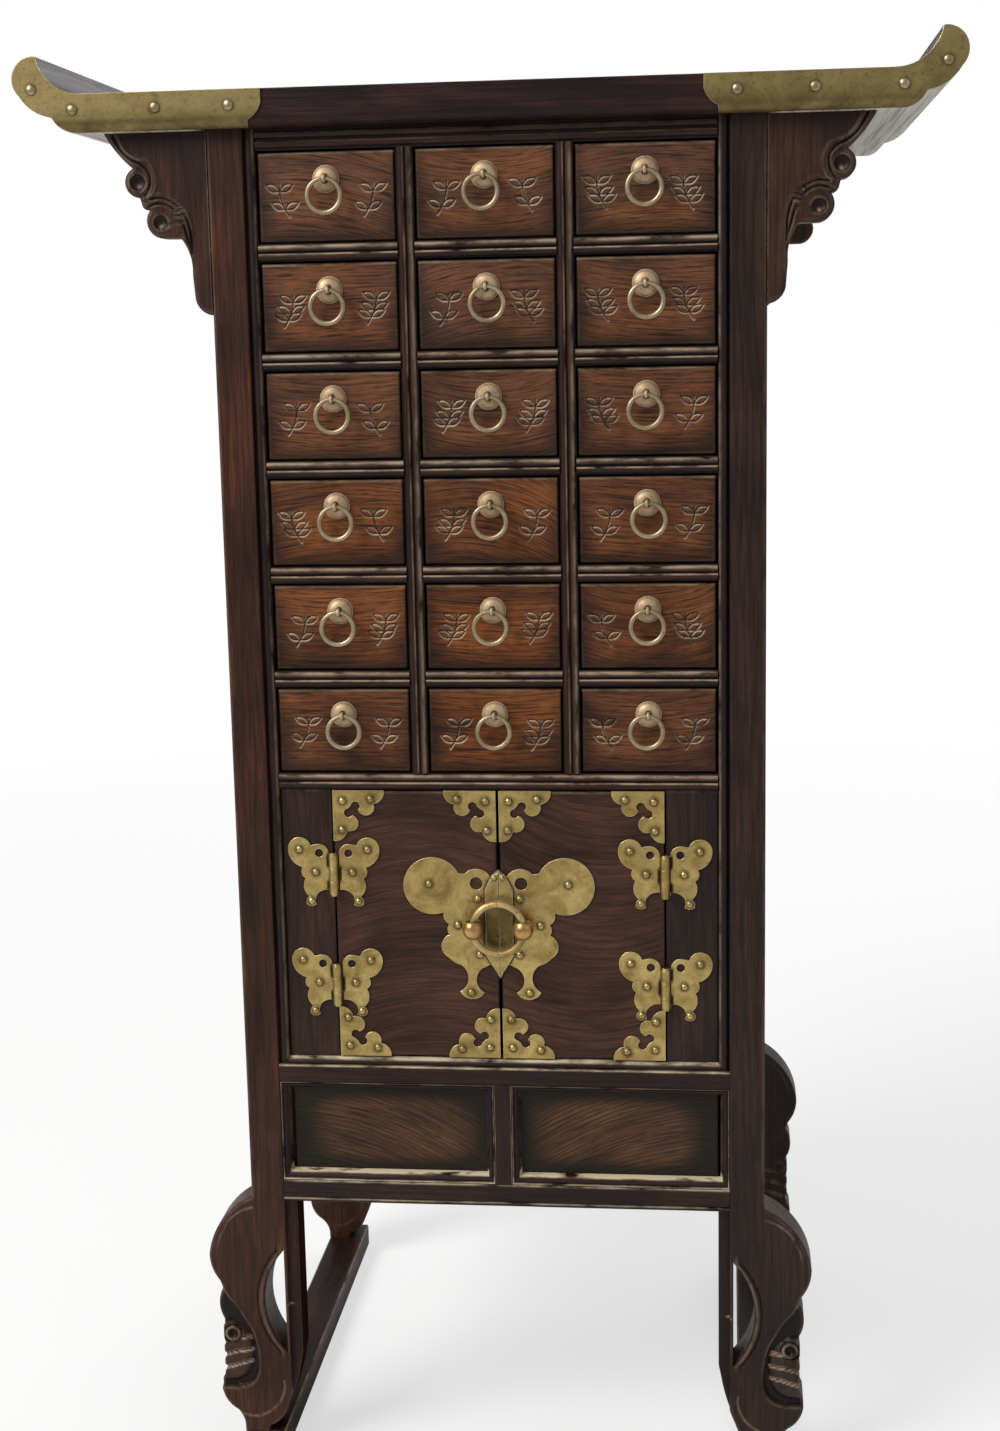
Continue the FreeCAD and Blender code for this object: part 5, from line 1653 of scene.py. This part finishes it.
@dataclass
class BracketWings:
    """Four carved wings under the top. Widths start at a post's outer face, heights at the case's top."""

    finishes: Finishes
    thickness: float = 20.0 * MM
    rounding: float = 3.4 * MM
    eye_depth: float = 2.8 * MM
    furrow_width: float = 0.7 * MM
    furrow_depth: float = 1.2 * MM
    lip_inset: float = 2.0 * MM
    lip_width: float = 1.1 * MM
    lip_height: float = 0.45 * MM
    roll_width: float = 1.2 * MM
    roll_height: float = 0.6 * MM

    edge_steps = [
        (69.0, 0.0), ((60.2, -13.0), (50.6, -22.6)), ((56.2, -32.2), (46.6, -41.6)), (45.4, -46.2),
        ((43.5, -49.0), (40.0, -49.4)), ((42.6, -58.4), (32.8, -68.2)), (20.0, -68.4),
        ((15.2, -77.0), (13.2, -92.0)), (12.0, -108.0), ((9.0, -114.5), (0.0, -119.0)),
    ]
    furrows = [
        [(64.2, 1.5), (57.5, -11.1), (51.2, -16.8), (44.0, -20.5), (39.2, -26.2), (38.8, -33.1),
         (41.3, -38.6), (45.1, -41.6)],
        [(39.3, -42.6), (31.9, -42.0), (24.7, -44.7), (18.4, -50.1), (14.8, -56.8), (13.0, -63.5),
         (12.4, -71.0), (12.2, -79.0)],
        [(42.9, -49.2), (38.0, -46.4), (31.4, -45.6), (24.9, -48.6), (19.6, -54.5), (16.8, -61.6),
         (14.5, -70.1), (12.4, -78.5)],
    ]
    roll = [(60.5, 1.0), (55.2, -10.5), (48.2, -16.2), (39.6, -19.2), (35.5, -26.3), (34.9, -33.3),
            (36.9, -38.8), (40.0, -42.2)]
    eyes = [(47.0, -31.8, 5.2), (32.8, -57.9, 4.8)]

    def carving(self, flat: Array) -> tuple[Array, Array, Array]:
        """Relief of a wing's face, with its painted highlights and painted shade.

        Each furrow is a bell across its line with a raised lip beside it, and the roll is a low bell. Each
        eye is a hollow, half an ellipse across, with a pale painted rim and a painted glint low inside. Lips
        and the roll take painted highlights; furrows, hollows and the wing's top and bottom are painted dark
        as shade.

        Args:
            flat: (width, height) of each point.

        Returns:
            Height of the relief, painted highlight and painted shade at each point.
        """
        furrow = np.min([distance_to(flat, flowing(line)) for line in self.furrows], axis=0)
        roll = distance_to(flat, flowing(self.roll))
        dark = ridge(furrow, self.furrow_width)
        lip = self.lip_height * ridge(furrow - self.lip_inset, self.lip_width)
        relief = lip - self.furrow_depth * dark + self.roll_height * ridge(roll, self.roll_width)
        worn = 0.3 * ridge(furrow - 1.3 * MM, 0.6 * MM) + 0.4 * ridge(roll, 0.7 * MM)
        for across, up, radius in self.eyes:
            offset = flat - MM * np.array([across, up])
            away = np.linalg.norm(offset, axis=-1) / (radius * MM)
            hollow = np.sqrt(np.clip(1.0 - away ** 2, 0.0, 1.0))
            relief = relief * smooth(away, 0.9, 1.5) - self.eye_depth * hollow
            from_glint = offset + MM * np.array([0.0, 0.55 * radius])
            glint = ridge(np.linalg.norm(from_glint, axis=-1), 0.26 * radius * MM)
            worn = worn * (away > 1.0) + 0.6 * ridge(away - 1.12, 0.14) + 3.0 * glint
            dark = np.where(away < 1.0, 0.75 * (1.0 - glint), dark)
        # Painted shade under the top and towards the wing's bottom.
        shade = 0.5 * smooth(flat[..., 1], -26 * MM, 0.0) + 0.3 * smooth(-flat[..., 1], 84 * MM, 112 * MM)
        return relief, worn, np.clip(dark + shade, 0, 1)

    def wing(self, rings: int, finer: int) -> list[Patch]:
        """The right front wing: rings from its inner top corner out to its sawn edge, the edge and the back.

        A point of the face is a share of the way from the corner to the edge, and the relief drops it back.

        Args:
            rings: how many rings the face has.
            finer: how many points stand for each run of the edge.

        Returns:
            The patches.
        """
        edge = traced(self.edge_steps)
        places = np.linspace(0, len(edge) - 1, finer * len(edge))
        edge = np.stack([np.interp(places, np.arange(len(edge)), edge[:, axis]) for axis in (0, 1)], axis=-1)
        share = 1 - (1 - np.linspace(0.0, 1.0, rings)) ** 1.35
        flat = share[:, None, None] * edge[None]
        rim = distance_to(flat, edge)
        relief, worn, dark = self.carving(flat)
        rounded = round_over(rim, self.rounding)
        front = FRONT + rounded - relief * smooth(rim, 0.0, 1.5 * MM)
        back = FRONT + self.thickness - 0.6 * rounded
        x, z = POST_OUTSIDE + flat[..., 0], CASE_TOP + flat[..., 1]
        seam = 0.8 * ridge(flat[..., 0], 0.5 * MM)
        worn = worn + 0.3 * ridge(rim - 2.0 * MM, 1.0 * MM)
        face = Patch(np.stack([x, front, z], axis=-1), GRAIN_Z, np.maximum(worn, seam), dark, 0.25)
        rear = Patch(np.stack([x, back, z], axis=-1), GRAIN_Z, 0.2, 0.3)
        pairs = [(face.points[-1], rear.points[-1]), (face.points[:, 0], rear.points[:, 0]),
                 (face.points[:, -1], rear.points[:, -1])]
        walls = [Patch(np.stack(pair), GRAIN_Z, 0.0, 0.35) for pair in pairs]
        return [face, rear] + walls

    def build(self) -> None:
        """Make the front pair and, more coarsely, the rear pair, by mirroring one wing."""
        turned_back = np.array([1.0, -1.0, 1.0]), np.array([0.0, 2 * MIDDLE, 0.0])
        rear = [patch.moved(*turned_back) for patch in self.wing(44, 1)]
        for name, right, replaced in (("front", self.wing(84, 3), ["bracket_wings"]), ("rear", rear, [])):
            pair = right + [patch.moved(np.array([-1.0, 1.0, 1.0]), np.zeros(3)) for patch in right]
            make_piece(f"{name}_wings_carved", pair, [self.finishes.posts], CASE, replaced)


@dataclass
class DoorPair:
    """Two doors and their jambs, the skirt panels under them and all the brass on the front."""

    finishes: Finishes
    jamb_width: float = 35.6 * MM
    muntin_half: float = 6.0 * MM
    hidden_edge: float = 6.3 * MM
    skirt_step: float = 3.0 * MM
    strip_face: float = -177.0 * MM
    nail_place: tuple[float, float] = (2.85 * MM, 438.3 * MM)
    door_rounding: float = 1.3 * MM
    door_pitch: float = 1.6 * MM
    panel_rounding: float = 0.8 * MM
    panel_pitch: float = 2.2 * MM
    nail_radius: float = 2.0 * MM
    nail_height: float = 1.6 * MM
    halo_radius: float = 2.8 * MM
    cup_centre: Point = (17.5 * MM, -184.8 * MM, 404.0 * MM)
    cup_radius: float = 7.3 * MM
    cup_height: float = 7.8 * MM

    def build(self) -> None:
        """Make the boards and dress the brass."""
        for side, shift, turn, bow in (("left", (2.1, 0.4), 0.06, 3.4), ("right", (5.3, 3.7), -0.1, -4.2)):
            name = f"door_{side}"
            low, high = (np.array(corner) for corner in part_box(name))
            grain = replace(GRAIN_X, shift=shift, turn=turn, bow=bow, heart=tuple((low + high) / 2))
            board = FacedBoard(low, high, self.door_rounding, self.door_pitch, grain, 0.0, 0.5)
            make_piece(f"{name}_dressed", board.patches(), [self.finishes.door], name, [name])
            dress(self.finishes.plate, f"{name}_brasses")
            dress(self.finishes.pull, f"half_ring_{side}")
            self.pull_fittings(name, -1.0 if side == "left" else 1.0)
        dress(self.finishes.plate, "jamb_hinge_leaves", "hinge_pins")
        jamb_edge = HALF_INSIDE - self.jamb_width
        self.panels("door_jambs", jamb_edge, GRAIN_Z, self.finishes.jamb, 0.0)
        self.panels("skirt_panels", self.muntin_half, GRAIN_X, self.finishes.skirt, 1.0)

    def pull_fittings(self, door: str, side: float) -> None:
        """The cup round a door's ring ball and the small nail at the head of its half strip.

        The nail is half an ellipse turned about its shank, on a thin disc. The cup is turned about an upright
        line: most of half an ellipse, an open mouth and a bore that leaves room for the ring.

        Args:
            door: the door that they move with.
            side: -1 for the left door and 1 for the right.
        """
        nail = nail_head(self.nail_radius, self.nail_height, 7)
        disc = self.halo_radius * np.array([(0.0, -0.04), (1.0, -0.04), (1.0, 0.03), (0.0, 0.03)])
        spot = np.array([side * self.nail_place[0], self.strip_face, self.nail_place[1]])
        lift = np.linspace(-1.05, 0.72, 16)
        bowl = np.stack([self.cup_radius * np.cos(lift), self.cup_height * np.sin(lift)], axis=-1)
        wall = np.array([(5.3, 5.4), (5.0, 5.1), (4.8, 3.0), (4.6, 0.0), (3.5, -6.0)]) * MM
        middle = np.array(self.cup_centre) * np.array([side, 1.0, 1.0])
        cup = turned(np.concatenate([bowl, wall, bowl[:1]]), middle, ACROSS_Z, 32, 1)
        fittings = [turned(nail, spot, -ACROSS_Y, 16), turned(disc, spot, -ACROSS_Y, 24), cup]
        finishes = [self.finishes.plate, self.finishes.cup]
        make_piece(f"{door}_pull_fittings", fittings, finishes, door)

    def panels(self, node: str, inner: float, way: GrainMap, finish: bpy.types.Material,
               shading: float) -> None:
        """A pair of boards either side of the middle, darkened towards their edges.

        Args:
            node: the node that they stand for.
            inner: the distance of their inner edges from the middle.
            way: the way the grain runs.
            finish: their material.
            shading: how far the darkening reaches in from the edges, from 0 to 1.
        """
        low, high = (np.array(corner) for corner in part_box(node))
        low[1] -= shading * self.skirt_step
        patches = []
        for side in (-1.0, 1.0):
            ends = sorted((side * inner, side * high[0]))
            start, end = np.array([ends[0], *low[1:]]), np.array([ends[1], *high[1:]])
            middle = (start + end) / 2
            heart = (ends[0] if side < 0 else ends[1], *middle[1:])
            grain = replace(way, shift=(1.3 + side, 2.0 * side), turn=0.05 * side * shading,
                            bow=2.2 * shading, heart=heart)
            # The left jamb is toned lighter and the right darker: painted light and shade from a lamp on the
            # left.
            tone = -0.3 * side * (1.0 - shading)
            board = FacedBoard(start, end, self.panel_rounding, self.panel_pitch, grain, tone, 0.3)
            half = (board.high - board.low) / 2 - self.hidden_edge
            across, up = np.abs(board.x - middle[0]) / half[0], np.abs(board.z - middle[2]) / half[2]
            shade = shading * smooth((across ** 4 + (1.1 * up) ** 4) ** 0.25, 0.62, 1.0)
            patches += board.patches(0.0, shade)
        make_piece(f"{node}_dressed", patches, [finish], CASE, [node])


@dataclass
class CaseBoards:
    """Boards that the frame has in their right shape, and the wide nails on the top's brass corners."""

    finishes: Finishes
    nail_radius: float = 3.4 * MM
    nail_height: float = 1.75 * MM
    brass_face: float = -193.7 * MM

    nails = [(294.4, 970.8), (267.6, 957.4), (212.4, 957.4), (163.7, 957.4)]

    def build(self) -> None:
        """Dress the boards and make the nails."""
        dress(self.finishes.top, "top_panel")
        dress(self.finishes.scroll, "scroll_ends")
        dress(self.finishes.corner, "top_corner_brasses")
        dress(self.finishes.case, "side_panels", "back_panel")
        dress(self.finishes.band, "side_back_rails")
        dress(self.finishes.inside, "dust_boards", "cupboard_floor")
        self.corner_nails()

    def corner_nails(self) -> None:
        """Nail heads on both corners, each turned about its shank."""
        head = nail_head(self.nail_radius, self.nail_height, 8)
        spots = [np.array([side * out * MM, self.brass_face, up * MM])
                 for side in (-1.0, 1.0) for out, up in self.nails]
        heads = [turned(head, spot, -ACROSS_Y, 20) for spot in spots]
        make_piece("top_corner_nails", heads, [self.finishes.nail], CASE)


@dataclass
class Studio:
    """A pale floor, soft light and the camera at the photograph's place."""

    lens: float = 52.56
    place: Point = (157.3 * MM, -1567.5 * MM, 808.8 * MM)
    right: Point = (0.99413, 0.10638, -0.01967)
    down: Point = (-0.00008, -0.18112, -0.98346)
    forward: Point = (-0.10818, 0.97769, -0.18004)
    floor_reach: float = 5.0
    floor_glow: float = 0.6
    floor_drop: float = 0.5 * MM
    floor_fade: tuple[float, float] = (0.9, 2.6)
    ambient: float = 0.42
    aim: Point = (0.0, 0.0, 0.55)

    # Each lamp's name, place, size and power.
    lamps = [
        ("key", (-2.0, -1.8, 2.6), 1.5, 96.0),
        ("fill", (1.9, -1.8, 1.3), 1.6, 3.0),
        ("back", (0.6, 2.2, 2.2), 1.6, 26.0),
    ]

    def build(self) -> None:
        """Set the view transform, then make the floor, the lamps, the world and the camera."""
        bpy.context.scene.view_settings.view_transform = "Standard"
        self.floor()
        for lamp in self.lamps:
            self.lamp(*lamp)
        self.world()
        self.camera()

    def floor(self) -> None:
        """A wide disc whose pale colour fades out towards its rim."""
        turn = np.linspace(0.0, 2 * math.pi, 49)
        reach = np.array([0.0, 0.4, 0.8, 1.0]) * self.floor_reach
        level = np.full((len(reach), len(turn)), -self.floor_drop)
        points = np.stack([reach[:, None] * np.cos(turn), reach[:, None] * np.sin(turn), level], axis=-1)
        mesh = bpy.data.meshes.new("studio_floor")
        mesh.from_pydata(points.reshape(-1, 3).tolist(), [], Patch(points, GRAIN_X).quads(0).tolist())
        r = Recipe("pale_floor")
        place = r.add("TexCoord").outputs["Object"]
        far = r.add("VectorMath", {0: place}, operation="LENGTH").outputs["Value"]
        paint = r.add("BsdfDiffuse", {"Color": hue("#f4f3f1")}).outputs[0]
        glow = r.add("Emission", {"Color": hue("#ffffff"), "Strength": 1.0}).outputs[0]
        seen = r.sum("MULTIPLY", r.add("LightPath").outputs["Is Camera Ray"], self.floor_glow)
        pale = r.add("MixShader", {0: seen, 1: paint, 2: glow}).outputs[0]
        clear = r.add("BsdfTransparent").outputs[0]
        faded = r.between(far, *self.floor_fade)
        surface = r.add("MixShader", {0: faded, 1: pale, 2: clear}).outputs[0]
        r.add("OutputMaterial", {"Surface": surface})
        mesh.materials.append(r.material)
        floor = bpy.data.objects.new("studio_floor", mesh)
        bpy.context.scene.collection.objects.link(floor)

    def lamp(self, name: str, place: Point, size: float, power: float) -> None:
        """A square soft lamp that faces the middle of the cabinet.

        Args:
            name: its name.
            place: where it stands.
            size: the length of its sides.
            power: its power in watts.
        """
        lamp = bpy.data.lights.new(name, "AREA")
        lamp.size, lamp.energy = size, power
        holder = bpy.data.objects.new(name, lamp)
        ahead = np.array(self.aim) - np.array(place)
        ahead = ahead / np.linalg.norm(ahead)
        side = np.cross(ahead, ACROSS_Z)
        side = side / np.linalg.norm(side)
        holder.matrix_world = self.turned(side, np.cross(side, ahead), -ahead, place)
        bpy.context.scene.collection.objects.link(holder)

    @staticmethod
    def turned(
        first: Sequence[float], second: Sequence[float], third: Sequence[float], place: Point
    ) -> Matrix:
        """A placement from three axes and a place.

        Args:
            first: the unit direction of its own X.
            second: the unit direction of its own Y.
            third: the unit direction of its own Z.
            place: where it is.

        Returns:
            The matrix.
        """
        columns = np.eye(4)
        columns[:3, :] = np.stack([first, second, third, place], axis=1)
        return Matrix(columns.tolist())

    def world(self) -> None:
        """White to the camera, and a plain grey light on everything."""
        world = bpy.data.worlds.new("studio_world")
        bpy.context.scene.world = world
        world.use_nodes = True
        tree = world.node_tree
        tree.nodes.clear()
        path = tree.nodes.new("ShaderNodeLightPath")
        strength = tree.nodes.new("ShaderNodeMapRange")
        strength.inputs["To Min"].default_value = self.ambient
        strength.inputs["To Max"].default_value = 1.0
        tree.links.new(path.outputs["Is Camera Ray"], strength.inputs["Value"])
        sky = tree.nodes.new("ShaderNodeBackground")
        sky.inputs["Color"].default_value = hue("#ffffff")
        tree.links.new(strength.outputs[0], sky.inputs["Strength"])
        output = tree.nodes.new("ShaderNodeOutputWorld")
        tree.links.new(sky.outputs[0], output.inputs["Surface"])

    def camera(self) -> None:
        """The camera, turned by the directions of the picture's right, down and depth."""
        lens = bpy.data.cameras.new("photo_view")
        lens.lens = self.lens
        camera = bpy.data.objects.new("photo_view", lens)
        axes = (np.array(self.right), -np.array(self.down), -np.array(self.forward))
        camera.matrix_world = self.turned(*axes, self.place)
        bpy.context.scene.collection.objects.link(camera)
        bpy.context.scene.camera = camera


def main() -> None:
    """Build each sub-assembly in turn."""
    logging.basicConfig(level=logging.INFO, format="%(name)s %(message)s")
    finishes = Finishes()
    kinds = (CaseBoards, CarvedPosts, BracketWings, FrontRails, DrawerBank, DoorPair)
    for part in (Studio(), *(kind(finishes) for kind in kinds)):
        part.build()


if __name__ == "__main__":
    main()
